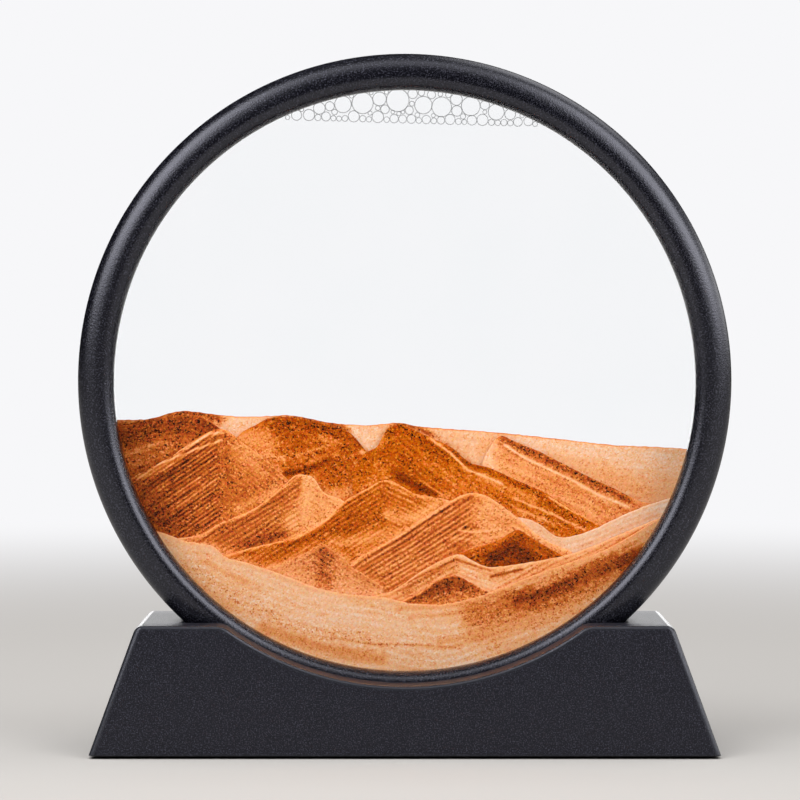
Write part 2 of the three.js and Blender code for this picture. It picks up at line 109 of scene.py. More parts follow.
# What the frame says about its own sizes
ring_low, ring_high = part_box("front_ring")
water_low, water_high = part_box("water")
stand_low, stand_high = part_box("base_shell")
RING_HEIGHT = (ring_low.z + ring_high.z) / 2
RING_RADIUS = (ring_high.x - ring_low.x) / 2
RING_HALF = -ring_low.y
CELL_RADIUS = (water_high.x - water_low.x) / 2


def opening_radius(name):
    """Radius of the opening of one of the frame's hoops."""
    points = node_points(name) - (0, 0, RING_HEIGHT)
    return float(np.hypot(points[:, 0], points[:, 2]).min())


WINDOW_RADIUS = opening_radius("front_ring")
SAND_GAP = 0.05 * MM  # between the sand and the spacer
SAND_RADIUS = (opening_radius("spacer_ring") - SAND_GAP) / MM


def length_setting(name, description, millimetres):
    return FloatProperty(name=name, description=description, default=millimetres * MM, unit="LENGTH")


def colour_setting(name, description, code):
    return FloatVectorProperty(
        name=name, description=description, default=linear(code), subtype="COLOR", size=3)


def place_setting(name, description, metres):
    return FloatVectorProperty(
        name=name, description=description, default=metres, subtype="XYZ", size=3, unit="LENGTH")


def power_setting(name, description, watts):
    return FloatProperty(name=name, description=description, default=watts, unit="POWER")


class RingSettings(bpy.types.PropertyGroup):
    """Sizes and colours of the black ring."""

    inner_round: length_setting("Inner round", "Round of the opening's edge, front to back", 3.6)
    lip_edge: length_setting("Lip edge", "Straight edge of the opening, next to the pane", 2.1)
    rounding: length_setting("Outer round", "Round of the front and back outer edges, front to back", 5.2)
    round_width: length_setting("Round width", "Round of the front and back outer edges, across", 6.6)
    wall: length_setting("Wall", "Thickness of the ring's wall", 2.4)
    pocket: length_setting("Pocket", "From the opening to the pocket that holds the pane", 3.9)
    seam: length_setting("Seam", "Each half's share of the groove where the halves meet", 0.4)
    softening: length_setting("Softening", "How far the edge next to the pane is rounded off", 0.15)
    black: colour_setting("Black", "Body colour of the black plastic", "#040409")
    fleck: colour_setting("Fleck", "Lighter grain of the ring's moulded texture", "#34343d")


class StandSettings(bpy.types.PropertyGroup):
    """Sizes and grain of the stand."""

    top_width: length_setting("Top width", "Width of the stand at its top", 146)
    lip_cover: length_setting("Lip cover", "How far the lips rise over the ring's outside", 7.5)
    shoulder: length_setting("Shoulder", "Rounding where each lip meets the flat top", 6)
    clearance: length_setting("Clearance", "Gap between the ring and its groove", 0.3)
    edge: length_setting("Edge", "Rounding of the front and back edges", 1.2)
    end: length_setting("End", "Rounding of the edges of both ends", 1.6)
    groove_edge: length_setting("Groove edge", "Rounding of the groove's edges", 0.5)
    wall: length_setting("Wall", "Rim round the floor plate", 2.4)
    recess: length_setting("Recess", "Depth of the recess for the floor plate", 2.3)
    lower_edge: length_setting("Lower edge", "Rounding of the lower edges", 0.5)
    fleck: colour_setting("Fleck", "Lighter grain of the stand's moulded texture", "#3f3f4a")


class CellSettings(bpy.types.PropertyGroup):
    """Sizes and colours of the glass cell."""

    chamfer: length_setting("Chamfer", "Ground edge of the panes", 0.4)
    outline: colour_setting("Bubble outline", "Grey of the bubbles' rims", "#9c9ea2")
    tint: colour_setting("Water tint", "What the clear liquid lets through", "#fdfefe")


class SandSettings(bpy.types.PropertyGroup):
    """Grain and relief of the sand."""

    grain: length_setting("Grain", "Size of one grain", 0.4)
    ripple: length_setting("Ripple", "Height of the fine ripples", 0.14)


class StageSettings(bpy.types.PropertyGroup):
    """Camera, floor and lights."""

    camera_place: place_setting("Camera", "Where the camera stands", (-0.0013, -0.859, 0.119))
    camera_dip: FloatProperty(
        name="Dip", description="How far the camera looks down", default=math.radians(1.47),
        subtype="ANGLE")
    lens: FloatProperty(
        name="Lens", description="Focal length in millimetres", default=139.16, unit="CAMERA")
    floor: colour_setting("Floor", "Pale floor", "#adaaa7")
    backdrop: colour_setting("Backdrop", "What is seen behind the frame", "#f7f7f9")
    left_power: power_setting("Left light", "Power of the softbox at the left", 8.1)
    right_power: power_setting("Right light", "Power of the softbox at the right", 7.5)
    top_power: power_setting("Top light", "Power of the softbox above the camera", 5.3)
    softbox_size: length_setting("Softbox", "Side of each softbox", 700)
    softbox_place: place_setting(
        "Softbox place", "Where the right softbox stands; the left one mirrors it", (0.75, -0.75, 0.75))
    top_place: place_setting(
        "Top place", "Where the softbox above the camera stands", (-0.3, -0.72, 0.95))


# Tones of the sand, from nearly black over rust and orange to cream
SAND_TONES = (
    (0.0, "#20110b"),
    (0.15, "#66280f"),
    (0.3, "#9c4213"),
    (0.45, "#c6601e"),
    (0.55, "#dc7a33"),
    (0.65, "#ec9657"),
    (0.75, "#f4a86d"),
    (0.87, "#f7ba8b"),
    (1.0, "#fad6bb"),
)


class Mark(NamedTuple):
    """A streak or patch on a dune."""

    path: tuple  # points in hundredths of the window's radius about its centre
    width: float  # half width in millimetres
    tone: float
    strength: float = 0.8
    speckle: float = None  # strength of its single grains, where they differ from the dune's


class Dune(NamedTuple):
    """How one body of sand is coloured. Tones run from 0, nearly black, to 1, cream."""

    slot: str
    tones: tuple  # on flanks that climb to the right, on flanks that fall to the right, and deep below
    fade: float  # millimetres under the crest over which the flanks take the deep tone
    speckle: float  # strength of single grains
    layers: tuple  # contrast of the layers on rising and on falling flanks
    spacing: float  # of the layers, in millimetres
    crest: tuple  # width of the band along the crest in millimetres, its tone, its strength on both flanks
    dips: tuple = None  # slope of the layers on both flanks in degrees, where they don't follow the crest
    under: float = 0.0  # strength of the dark line under the crest's band
    foot: tuple = (1.0, 0.0, 0.0)  # width of the band over the next crest in millimetres, tone, strength
    painted_shade: float = 0.0  # painted shade: how much duller it is painted than sand in full light
    rich: float = 1.0  # strength of its colour
    marks: tuple = ()


DUNES = {
    "sand_skyline": Dune(
        "pale_sand", (0.9, 0.9, 0.8), 14, 0.14, (0.03, 0.03), 2.2, (0.25, 0.34, 0.7, 0.7), painted_shade=0.03,
        marks=(
            Mark(((-101, -16.5), (-90, -15), (-80, -11.5), (-72, -11), (-65, -13.5)), 1.7, 0.33, 0.95, 0.4),
            Mark(((-46, -15.5), (-38, -13), (-30, -13.5), (-21, -17)), 1.5, 0.36, 0.9, 0.4),
            Mark(((-6, -18), (-2.5, -15.5), (3, -16), (9, -18.5)), 0.9, 0.36, 0.9, 0.36),
            Mark(((10, -20), (16, -24), (22, -29)), 1.0, 0.62, 0.6, 0.36),
            Mark(((28.5, -28.5), (35.5, -31.5)), 2.6, 0.93, 0.7),
            Mark(((27, -23.5), (32.5, -21.5)), 1.8, 0.72, 0.7, 0.16),
            Mark(((53.5, -25), (68, -32.5), (80.5, -37.5)), 3.4, 0.76, 0.6),
            Mark(((70, -33), (84, -39)), 2.6, 0.7, 0.7),
            Mark(((44, -21.5), (60, -24), (90, -26)), 1.6, 0.95, 0.7),
        )),
    "sand_west_hill": Dune(
        "dark_sand", (0.28, 0.3, 0.42), 9, 0.32, (0.04, 0.05), 1.5, (0.6, 0.4, 0.4, 0.4),
        marks=(
            Mark(((-96, -17), (-87.5, -15.5), (-75, -15), (-65, -14.5)), 2.5, 0.24, 0.75, 0.42),
            Mark(((-95, -29), (-86, -26.5), (-75, -21)), 1.4, 0.55, 0.6),
            Mark(((-99, -26.5), (-93, -24.6), (-85, -21.5)), 0.8, 0.72, 0.6, 0.16),
            Mark(((-67, -12), (-60.5, -16.5)), 1.1, 0.6, 0.6, 0.3),
        )),
    "sand_saddle_hill": Dune(
        "dark_sand", (0.43, 0.34, 0.45), 12, 0.27, (0.05, 0.06), 1.7, (0.5, 0.42, 0.4, 0.4), dips=(28, -35),
        foot=(2.0, 0.74, 0.5), rich=1.02,
        marks=(
            Mark(((-62, -19), (-55.5, -19.5), (-47, -21.5)), 3.4, 0.66, 0.85, 0.16),
            Mark(((-44, -15), (-37.5, -14), (-30.5, -15), (-22.5, -17)), 2.5, 0.27, 0.75, 0.42),
            Mark(((-42, -21), (-36, -19)), 2.0, 0.4, 0.6, 0.38),
            Mark(((-54, -26.4), (-47, -25.8), (-42, -27.4)), 0.8, 0.8, 0.65, 0.14),
            Mark(((-21.5, -22.5), (-19.5, -26.5)), 1.6, 0.4, 0.7, 0.4),
            Mark(((-29, -20), (-24, -21.5)), 1.4, 0.66, 0.6, 0.2),
            Mark(((-33, -29), (-24.5, -26)), 1.3, 0.64, 0.85, 0.2),
            Mark(((-41, -32.5), (-33.5, -31), (-26, -27.2)), 1.0, 0.17, 0.85, 0.26),
            Mark(((-37, -26), (-32, -24.2), (-27, -22.6)), 0.6, 0.82, 0.5, 0.12),
            Mark(((-15, -25), (-10.5, -25.7), (-4.5, -24.5)), 0.8, 0.84, 0.8, 0.1),
            Mark(((-18, -19), (-15, -23), (-11, -24), (-6, -22.5)), 0.5, 0.22, 0.85, 0.3),
            Mark(((-16.5, -26.5), (-9, -28.7)), 0.8, 0.36, 0.7, 0.3),
            Mark(((-12, -30), (-6, -31)), 1.6, 0.62, 0.6, 0.2),
            Mark(((-26, -40.5), (-16.5, -38), (-10.5, -34.5)), 1.6, 0.8, 0.6, 0.1),
        )),
    "sand_east_slope": Dune(
        "orange_sand", (0.63, 0.63, 0.66), 12, 0.16, (0.05, 0.05), 2.4, (0.2, 0.7, 0, 0), dips=(30, -28),
        marks=(
            Mark(((29, -19), (28.5, -25), (30, -33)), 2.6, 0.9, 0.95, 0.12),
            Mark(((68, -43.5), (78, -45.5)), 2.0, 0.55, 0.7, 0.3),
            Mark(((34.5, -20.3), (46.5, -26.3), (57.5, -31), (68, -36.5), (77, -41)), 1.5, 0.33, 0.9, 0.42),
            Mark(((35, -22.5), (41.5, -26.8), (47.5, -29.6), (57.5, -34.3), (68, -40), (78, -44)),
                 0.42, 0.95, 0.9, 0.08),
            Mark(((36, -24.2), (43, -28.5), (50, -31.7), (60, -36.2)), 0.3, 0.5, 0.5, 0.4),
        )),
    "sand_centre_hill": Dune(
        "orange_sand", (0.42, 0.39, 0.45), 10, 0.26, (0.06, 0.08), 1.5, (0.4, 0.44, 0.4, 0.3), dips=(25, -37),
        foot=(1.8, 0.76, 0.4), rich=1.03,
        marks=(
            Mark(((-8, -17), (-8.5, -22.5)), 1.3, 0.64, 0.7, 0.2),
            Mark(((-3.5, -16.3), (1.5, -17), (6, -20)), 1.8, 0.36, 0.75, 0.38),
            Mark(((6, -27), (14, -32), (22, -38)), 1.6, 0.55, 0.6, 0.2),
            Mark(((14, -23), (21, -28.5), (32.5, -31), (39, -35), (46.5, -39)), 1.0, 0.3, 0.85, 0.4),
            Mark(((46.5, -39), (53.5, -44), (62.5, -49)), 1.5, 0.4, 0.75, 0.38),
            Mark(((26, -34), (36, -37.5), (45, -41)), 1.4, 0.64, 0.75, 0.14),
            Mark(((9, -20), (15.5, -24.8), (22, -31.2), (26.5, -32.7), (34, -36)), 0.42, 0.9, 0.85, 0.08),
            Mark(((50.5, -40.7), (57.5, -45), (67.5, -50)), 0.3, 0.86, 0.8, 0.1),
            Mark(((38, -41), (52.5, -47), (62.5, -52)), 0.4, 0.85, 0.8, 0.1),
            Mark(((40, -45), (50, -49)), 0.4, 0.78, 0.7, 0.1),
            Mark(((50.5, -51.5), (55.5, -53.3), (62, -53.7)), 0.6, 0.4, 0.8, 0.26),
            Mark(((-4.5, -32), (1.5, -35.5), (10, -39)), 1.6, 0.18, 0.92, 0.16),
            Mark(((-9, -30), (-5, -33)), 1.4, 0.6, 0.6, 0.2),
            Mark(((6.5, -35.5), (14.5, -40.5)), 0.3, 0.72, 0.6, 0.1),
        )),
    "sand_left_dune": Dune(
        "orange_sand", (0.36, 0.58, 0.32), 22, 0.24, (0.27, 0.05), 1.05, (0.5, 0.7, 0.3, 0.3), dips=(35, -38),
        foot=(1.6, 0.7, 0.3),
        marks=(
            Mark(((-92, -38), (-87, -45), (-81.5, -51)), 4.2, 0.26, 0.7, 0.38),
            Mark(((-63.5, -20), (-62, -27.5), (-61.5, -36)), 1.6, 0.37, 0.6, 0.34),
            Mark(((-92.5, -34.3), (-86, -31), (-79, -27)), 1.0, 0.64, 0.75, 0.12),
            Mark(((-97, -36), (-88, -34.3), (-81.5, -32)), 0.6, 0.26, 0.6, 0.3),
            Mark(((-94, -32.4), (-77.5, -23.8), (-68, -18.6), (-64, -17.8)), 0.5, 0.86, 0.9, 0.08),
            Mark(((-86, -29.2), (-73, -24), (-63.5, -20.5)), 0.32, 0.86, 0.8, 0.08),
            Mark(((-80, -28.3), (-72, -25), (-64, -22)), 0.3, 0.25, 0.6, 0.2),
            Mark(((-57, -24), (-50, -31.5)), 1.8, 0.64, 0.6, 0.14),
            Mark(((-61.5, -41), (-58.5, -40.5)), 1.3, 0.42, 0.6, 0.3),
            Mark(((-58.5, -44.5), (-51, -41), (-45, -38)), 1.0, 0.72, 0.6, 0.1),
        )),
    "sand_left_ridge": Dune(
        "orange_sand", (0.42, 0.72, 0.5), 16, 0.2, (0.17, 0.04), 1.2, (0.8, 0.8, 0.7, 0.4),
        dips=(31, -35), under=0.4, foot=(1.3, 0.78, 0.7),
        marks=(
            Mark(((-62, -48), (-52, -42), (-44, -37)), 1.6, 0.46, 0.5, 0.3),
            Mark(((-34, -40), (-35, -45), (-39, -49.5)), 2.8, 0.73, 0.85, 0.1),
            Mark(((-57, -58.5), (-48.5, -55.5), (-42.5, -53.5)), 1.7, 0.25, 0.8, 0.34),
            Mark(((-75, -55), (-66, -55)), 0.6, 0.5, 0.7, 0.14),
        )),
    "sand_middle_ridge": Dune(
        "orange_sand", (0.42, 0.51, 0.5), 14, 0.22, (0.15, 0.1), 1.2, (0.7, 0.8, 0.7, 0.45),
        dips=(32, -25), under=0.4, foot=(1.5, 0.78, 0.7), rich=1.02,
        marks=(
            Mark(((-9, -40), (-7.5, -46)), 1.8, 0.42, 0.6, 0.3),
            Mark(((-22, -51.5), (-15, -49), (-9.5, -48)), 1.9, 0.33, 0.75, 0.32),
            Mark(((-25, -56.5), (-16.5, -55.5), (-7.5, -53)), 1.3, 0.76, 0.6, 0.1),
            Mark(((-6.5, -37), (-3, -39), (1.5, -41)), 0.35, 0.35, 0.7, 0.2),
            Mark(((-7, -38.5), (-3, -40.8), (2, -43)), 0.35, 0.36, 0.6, 0.2),
            Mark(((-6.5, -46), (-3, -48), (4, -47.5), (11, -43)), 1.2, 0.74, 0.8, 0.1),
        )),
    "sand_east_flat": Dune(
        "pale_sand", (0.88, 0.8, 0.86), 8, 0.1, (0.07, 0.07), 1.6, (0.6, 0.94, 0.5, 0.4),
        painted_shade=0.05, rich=0.91,
        marks=(
            Mark(((40, -51), (46.5, -54.5), (52.5, -57.5)), 2.6, 0.78, 0.8, 0.2),
            Mark(((60.5, -58), (73, -52.5), (88, -46.5)), 0.5, 0.72, 0.7, 0.14),
            Mark(((66, -59), (78, -53.5), (90, -49)), 0.6, 0.68, 0.6, 0.14),
        )),
    "sand_long_ridge": Dune(
        "orange_sand", (0.47, 0.68, 0.5), 16, 0.2, (0.22, 0.05), 1.2, (0.8, 0.82, 0.75, 0.45),
        dips=(32, -30), under=0.5, foot=(1.2, 0.72, 0.4),
        marks=(
            Mark(((16.5, -43.4), (21.5, -41), (26.5, -42)), 0.8, 0.44, 0.6, 0.26),
            Mark(((20.5, -51), (25, -51)), 0.5, 0.3, 0.7, 0.26),
            Mark(((19, -52), (25, -52.7), (33, -51.5)), 0.35, 0.84, 0.8, 0.08),
            Mark(((16, -54.5), (25, -55.5), (34, -53.5)), 0.35, 0.78, 0.6, 0.08),
        )),
    "sand_dark_peak": Dune(
        "dark_sand", (0.42, 0.38, 0.32), 6, 0.28, (0.08, 0.05), 1.3, (0.5, 0.5, 0.5, 0.4),
        dips=(25, -30), rich=1.02,
        marks=(
            Mark(((30, -62), (38, -58), (43, -62.5)), 2.2, 0.12, 0.9, 0.24),
        )),
    "sand_small_dune": Dune(
        "dark_sand", (0.6, 0.52, 0.72), 8, 0.22, (0.06, 0.05), 1.6, (0.8, 0.7, 0.5, 0.4), painted_shade=0.03,
        foot=(2.4, 0.8, 0.7), rich=0.99,
        marks=(
            Mark(((-46, -66), (-36, -65)), 1.4, 0.62, 0.8, 0.16),
            Mark(((-27.5, -59.5), (-29, -65.5), (-27.5, -69)), 2.9, 0.36, 0.8, 0.36),
        )),
    "sand_front_ridge": Dune(
        "pale_sand", (0.66, 0.76, 0.8), 8, 0.16, (0.16, 0.12), 1.4, (0.8, 0.84, 0.75, 0.6),
        dips=(28, -20), painted_shade=0.03,
        marks=(
            Mark(((0, -73), (8, -68), (17.5, -64)), 1.2, 0.46, 0.65, 0.3),
            Mark(((-17.5, -75), (-6, -73.7), (6, -67.3), (17.5, -62), (24, -64), (29.5, -65.6)),
                 0.3, 0.24, 0.75, 0.2),
            Mark(((30, -68), (35, -66.7), (41, -65.3)), 0.4, 0.22, 0.9, 0.2),
        )),
    "sand_front_knoll": Dune(
        "dark_sand", (0.27, 0.37, 0.6), 6, 0.3, (0.12, 0.1), 1.2, (0.5, 0.8, 0.7, 0.5), under=0.3,
        foot=(1.6, 0.7, 0.5), painted_shade=0.03,
        marks=(
            Mark(((4, -75), (12, -71), (20, -71)), 1.7, 0.22, 0.8, 0.38),
        )),
    # The bed is painted duller than the rest: painted shade at the bottom of the window
    "sand_bed": Dune(
        "pale_sand", (0.76, 0.84, 0.9), 8, 0.15, (0.09, 0.05), 2.2, (1.3, 0.79, 0.7, 0.7), painted_shade=0.06,
        marks=(
            Mark(((26, -87), (42, -82.5), (56, -75.5), (68, -67)), 5.0, 0.7, 0.75, 0.16),
            Mark(((-80, -58), (-70, -57.5), (-64, -60)), 0.9, 0.93, 0.8, 0.08),
            Mark(((-77.5, -65), (-71, -72.5), (-62.5, -79)), 2.6, 0.72, 0.7, 0.2),
            Mark(((-70.5, -62.5), (-62.5, -66), (-54.5, -70)), 0.9, 0.67, 0.75, 0.1),
            Mark(((-62, -62.5), (-48.5, -68), (-36, -72.5), (-20, -77)), 2.2, 0.9, 0.75, 0.08),
            Mark(((-72, -66), (-62, -73), (-48.5, -80.5), (-30, -87), (-12, -88.5)), 2.2, 0.8, 0.7, 0.36),
            Mark(((-40, -82), (-20, -83.5), (0, -84.5), (20, -83.5)), 2.4, 0.92, 0.7, 0.08),
            Mark(((-50, -85.5), (-40, -89), (-25, -93.5), (-8, -96.5)), 1.8, 0.6, 0.85, 0.12),
            Mark(((-25, -89), (-11.5, -91.3), (4.5, -91.6), (17.5, -92.5)), 0.35, 0.5, 0.6, 0.4),
            Mark(((-2.5, -79), (19, -77), (37.5, -70.5), (53, -64.5)), 0.9, 0.66, 0.75, 0.16),
            Mark(((2, -82), (22, -80.5), (40, -75.5)), 0.7, 0.7, 0.65, 0.14),
            Mark(((24, -83), (40.5, -79), (53, -77), (66, -72)), 2.6, 0.58, 0.7, 0.32),
            Mark(((24, -79.5), (44, -75.5), (65, -67), (82, -60)), 4.2, 0.45, 0.7, 0.26),
            Mark(((40, -76), (50, -73), (65, -66.5), (82, -60)), 2.3, 0.17, 0.85, 0.3),
            Mark(((60, -68.5), (72, -63)), 1.4, 0.5, 0.5, 0.3),
            Mark(((12, -90.5), (31, -88), (46.5, -83.5), (60, -76)), 0.8, 0.64, 0.75, 0.16),
            Mark(((22, -87), (36, -84.5), (50, -80)), 0.6, 0.68, 0.7, 0.14),
            Mark(((44, -86), (54, -81)), 1.2, 0.7, 0.6, 0.3),
        )),
}


# How single grains scatter about a dune's tone: place in a lot of grains, and share of the swing. Most
# keep near the tone, and a few are much darker or paler
GRAIN_SWING = 1.3
GRAIN_SCATTER = ((0.0, 0.0), (0.2, 0.39), (0.86, 0.6), (1.0, 0.74))

# The foam under the top of the cell, in millimetres
FOAM_DEPTH = (8.6, 10.6)  # from the top of the cell to the foam's lower edge, at the left and right ends
FOAM_SEED = 11
FOAM_CANDIDATES = 6000
LOWEST_RADII = (0.75, 1.7)  # of the bubbles along the lower edge
LARGEST_RADII = (3.1, 2.9, 2.7, 2.6, 2.4, 2.3, 2.2, 2.1, 2.0, 1.9, 1.8, 1.7)
FILLING_RADII = (0.55, 1.7)  # of the bubbles in the gaps
FOAM_OVERLAP = 1.06  # how far a bubble presses into its neighbours
RIM_WIDTH = 0.28  # of the grey outline that a bubble shows


class Fade(NamedTuple):
    """How a glow comes up along an axis of the studio."""

    axis: str
    dark: float  # where on the axis it is dark
    bright: float
    power: float = 1.0


# The studio's glow outside the softboxes. Each patch of it is a product of fades
FRONT = (Fade("Y", -0.1, -0.35), Fade("Y", -0.95, -0.75))
SKY = (
    (Fade("Z", 0.6, 0.95, 4.2), Fade("Y", 0.45, 0.2), Fade("Y", -0.6, -0.3)),
)
# What polished and satin surfaces mirror: panels above the camera, behind the frame, low at the right, at the
# upper left and right, and overhead at the right
PANELS = (
    (Fade("Z", 0.6, 0.9, 2.2), *FRONT),
    (Fade("Y", 0.5, 0.9, 3.8), Fade("Z", 0.35, 0.15), Fade("X", -0.4, -0.15), Fade("X", 0.4, 0.15)),
    (Fade("X", 0.5, 0.95, 4.0), Fade("Z", 0.5, 0.25), Fade("Z", 0.0, 0.2)),
    (Fade("X", -0.3, -0.55, 7.8), Fade("Z", 0.1, 0.35), *FRONT),
    (Fade("X", 0.3, 0.55, 7.0), Fade("Z", 0.1, 0.35), *FRONT),
    (Fade("X", 0.05, 0.3, 3.0), Fade("Z", 0.5, 0.75), Fade("Y", -0.05, 0.2)),
)

CORNERS = ("front_left", "front_right", "rear_left", "rear_right")


# Surfaces

def ease(value):
    """A smooth step: 0 below 0, 1 above 1, and a cubic between."""
    value = np.clip(value, 0, 1)
    return value * value * (3 - 2 * value)


def between(first, second, share):
    """From the first value to the second as the share goes from 0 to 1."""
    return first * (1 - share) + second * share


def soft_noise(across, along, seed):
    """Noise from -1 to 1: random numbers at whole corners of a plane, eased between the corners."""
    table = np.random.default_rng(seed).uniform(-1, 1, (NOISE_SIZE, NOISE_SIZE))
    low_a = np.floor(across).astype(int)
    low_b = np.floor(along).astype(int)
    share_a = ease(across - low_a)
    left = low_a % NOISE_SIZE
    right = (low_a + 1) % NOISE_SIZE
    lower = low_b % NOISE_SIZE
    upper = (low_b + 1) % NOISE_SIZE
    near = between(table[left, lower], table[right, lower], share_a)
    far = between(table[left, upper], table[right, upper], share_a)
    return between(near, far, ease(along - low_b))


def grid_faces(rows, columns, wrap_rows=False, wrap_columns=False):
    """Quads between neighbours on a grid. A wrapped direction also joins its last line to its first."""
    row, column = np.meshgrid(
        np.arange(rows if wrap_rows else rows - 1),
        np.arange(columns if wrap_columns else columns - 1), indexing="ij")
    next_row = (row + 1) % rows
    next_column = (column + 1) % columns
    corners = (row * columns + column, next_row * columns + column,
               next_row * columns + next_column, row * columns + next_column)
    return np.stack([corner.ravel() for corner in corners], axis=1)


def softened(corners, cuts):
    """Closed outlines with soft corners. Each corner becomes a quadratic curve that leaves the sides
    a cut's length before and after it. Leading axes hold one outline each."""
    before = np.roll(corners, 1, axis=-2) - corners
    after = np.roll(corners, -1, axis=-2) - corners
    length_before = np.linalg.norm(before, axis=-1)
    length_after = np.linalg.norm(after, axis=-1)
    cut = np.minimum(cuts, 0.5 * np.minimum(length_before, length_after))
    start = corners + before * (cut / np.maximum(length_before, TINY))[..., None]
    end = corners + after * (cut / np.maximum(length_after, TINY))[..., None]
    share = np.linspace(0, 1, CORNER_STEPS)[:, None]
    curve = ((1 - share) ** 2 * start[..., None, :] + 2 * share * (1 - share) * corners[..., None, :]
             + share ** 2 * end[..., None, :])
    return curve.reshape(*corners.shape[:-2], -1, 2)


def turned(profile, steps, closed=True):
    """A profile of (radius, depth) points carried once round an axis: across and up are the radius times
    sine and cosine of the turn. A profile that starts and ends on the axis isn't closed."""
    turn = np.linspace(0, 2 * np.pi, steps, endpoint=False)[:, None]
    radius, depth = profile.T
    points = np.stack(np.broadcast_arrays(radius * np.sin(turn), radius * np.cos(turn), depth), axis=-1)
    return points.reshape(-1, 3), grid_faces(steps, len(profile), True, closed)


def about_ring(points):
    """Turned points (across, up, depth) set on the ring's own axis, which runs along Y."""
    return points[:, [0, 2, 1]] + (0, 0, RING_HEIGHT)


def add_object(name, data):
    """A new object at the origin of the scene."""
    made = bpy.data.objects.new(name, data)
    bpy.context.scene.collection.objects.link(made)
    return made


def dress(name, points, faces, material, body, nodes, caps=(), attributes=None, crease=35):
    """Makes a closed mesh, merges its seams and poles, turns its faces out and hands it to the frame."""
    mesh = bpy.data.meshes.new(name)
    mesh.from_pydata(points.tolist(), [], faces.tolist() + [list(cap) for cap in caps])
    for key, values in (attributes or {}).items():
        layer = mesh.attributes.new(key, "FLOAT", "POINT")
        layer.data.foreach_set("value", values.astype(np.float32).ravel())
    work = bmesh.new()
    work.from_mesh(mesh)
    bmesh.ops.remove_doubles(work, verts=work.verts, dist=MERGE_DISTANCE)
    bmesh.ops.recalc_face_normals(work, faces=work.faces)
    work.to_mesh(mesh)
    work.free()
    mesh.shade_smooth()
    mesh.set_sharp_from_angle(angle=math.radians(crease))
    mesh.materials.append(material)
    piece = add_object(name, mesh)
    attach(piece, body)
    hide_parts(*nodes)


def keep_node(name, material):
    """Gives one of the frame's own solids its finish."""
    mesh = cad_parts[name].data
    mesh.materials.clear()
    mesh.materials.append(material)


# Materials

# Places of a mix node's sockets: its factor, those for colours, and those for plain numbers
MIX_FACTOR = 0
COLOUR_A, COLOUR_B, COLOUR_RESULT = 6, 7, 2
NUMBER_A, NUMBER_B, NUMBER_RESULT = 2, 3, 0


def add_node(tree, kind, inputs=None, **settings):
    """Adds a node, sets its own settings, then fills its sockets with values or links them to outputs."""
    made = tree.nodes.new(kind)
    for name, value in settings.items():
        setattr(made, name, value)
    for key, value in (inputs or {}).items():
        if isinstance(value, bpy.types.NodeSocket):
            tree.links.new(value, made.inputs[key])
        else:
            made.inputs[key].default_value = value
    return made


def add_ramp(tree, factor, stops):
    """A colour ramp through (place, linear colour) stops."""
    ramp = add_node(tree, "ShaderNodeValToRGB", {"Fac": factor})
    elements = ramp.color_ramp.elements
    while len(elements) < len(stops):
        elements.new(1.0)
    for element, (stop, colour) in zip(elements, stops):
        element.position = stop
        element.color = opaque(colour)
    return ramp.outputs["Color"]


def mix_colours(tree, factor, first, second):
    """The colour between two colours."""
    return add_node(tree, "ShaderNodeMix", {
        MIX_FACTOR: factor, COLOUR_A: first, COLOUR_B: second}, data_type="RGBA").outputs[COLOUR_RESULT]


def mix_shaders(tree, share, first, second):
    """The surface between two surfaces."""
    return add_node(tree, "ShaderNodeMixShader", {0: share, 1: first, 2: second}).outputs["Shader"]


def calculate(tree, operation, *values):
    """A number worked out from others."""
    return add_node(tree, "ShaderNodeMath", dict(enumerate(values)), operation=operation).outputs["Value"]


def stretch(tree, value, low, high):
    """A number from 0 to 1 spread over another range."""
    return add_node(tree, "ShaderNodeMapRange", {
        "Value": value, "To Min": low, "To Max": high}).outputs["Result"]


def cloud(tree, size, detail, roughness=0.5):
    """Soft noise about 0.5, in patches of the given size."""
    place = add_node(tree, "ShaderNodeTexCoord").outputs["Object"]
    return add_node(tree, "ShaderNodeTexNoise", {
        "Vector": place, "Scale": 1 / size, "Detail": detail, "Roughness": roughness}).outputs["Fac"]


def carried(tree, name):
    """A number that the mesh carries at its points."""
    return add_node(tree, "ShaderNodeAttribute", attribute_name=name).outputs["Fac"]


def new_material(name):
    material = bpy.data.materials.new(name)
    material.use_nodes = True
    material.node_tree.nodes.clear()
    return material, material.node_tree


def close_material(tree, shader):
    add_node(tree, "ShaderNodeOutputMaterial", {"Surface": shader})


def close_principled(tree, inputs):
    shader = add_node(tree, "ShaderNodeBsdfPrincipled", inputs)
    close_material(tree, shader.outputs["BSDF"])


def mottled(name, size, detail, colours, roughness, metallic=0.0):
    """A skin that drifts between two colours and two roughnesses, in patches of the given size."""
    material, tree = new_material(name)
    patches = cloud(tree, size, detail)
    first, second = (opaque(linear(code)) for code in colours)
    close_principled(tree, {
        "Base Color": mix_colours(tree, patches, first, second),
        "Roughness": stretch(tree, patches, *roughness),
        "Metallic": metallic})
    return material


def moulded_rubber(name):
    """Black rubber: dull, slightly dusty, with a very fine moulded grain."""
    return mottled(name, 0.9 * MM, 4.0, ("#121213", "#242425"), (0.75, 0.95))


def cast_acrylic(name):
    """Clear acrylic with something dark behind it: a polished greyish skin, faintly cloudy."""
    return mottled(name, 6 * MM, 3.0, ("#565a5c", "#6e7274"), (0.2, 0.33))


def silicone_seal(name):
    """Translucent silicone with something dark behind it: greyish, dull and faintly cloudy."""
    return mottled(name, 6 * MM, 3.0, ("#5c5f5e", "#747775"), (0.5, 0.63))


def plated_steel(name):
    """Zinc-plated steel: bright grey metal with a slightly streaky passivated skin."""
    return mottled(name, 0.7 * MM, 3.0, ("#8e9194", "#b9bbbb"), (0.25, 0.45), metallic=1.0)


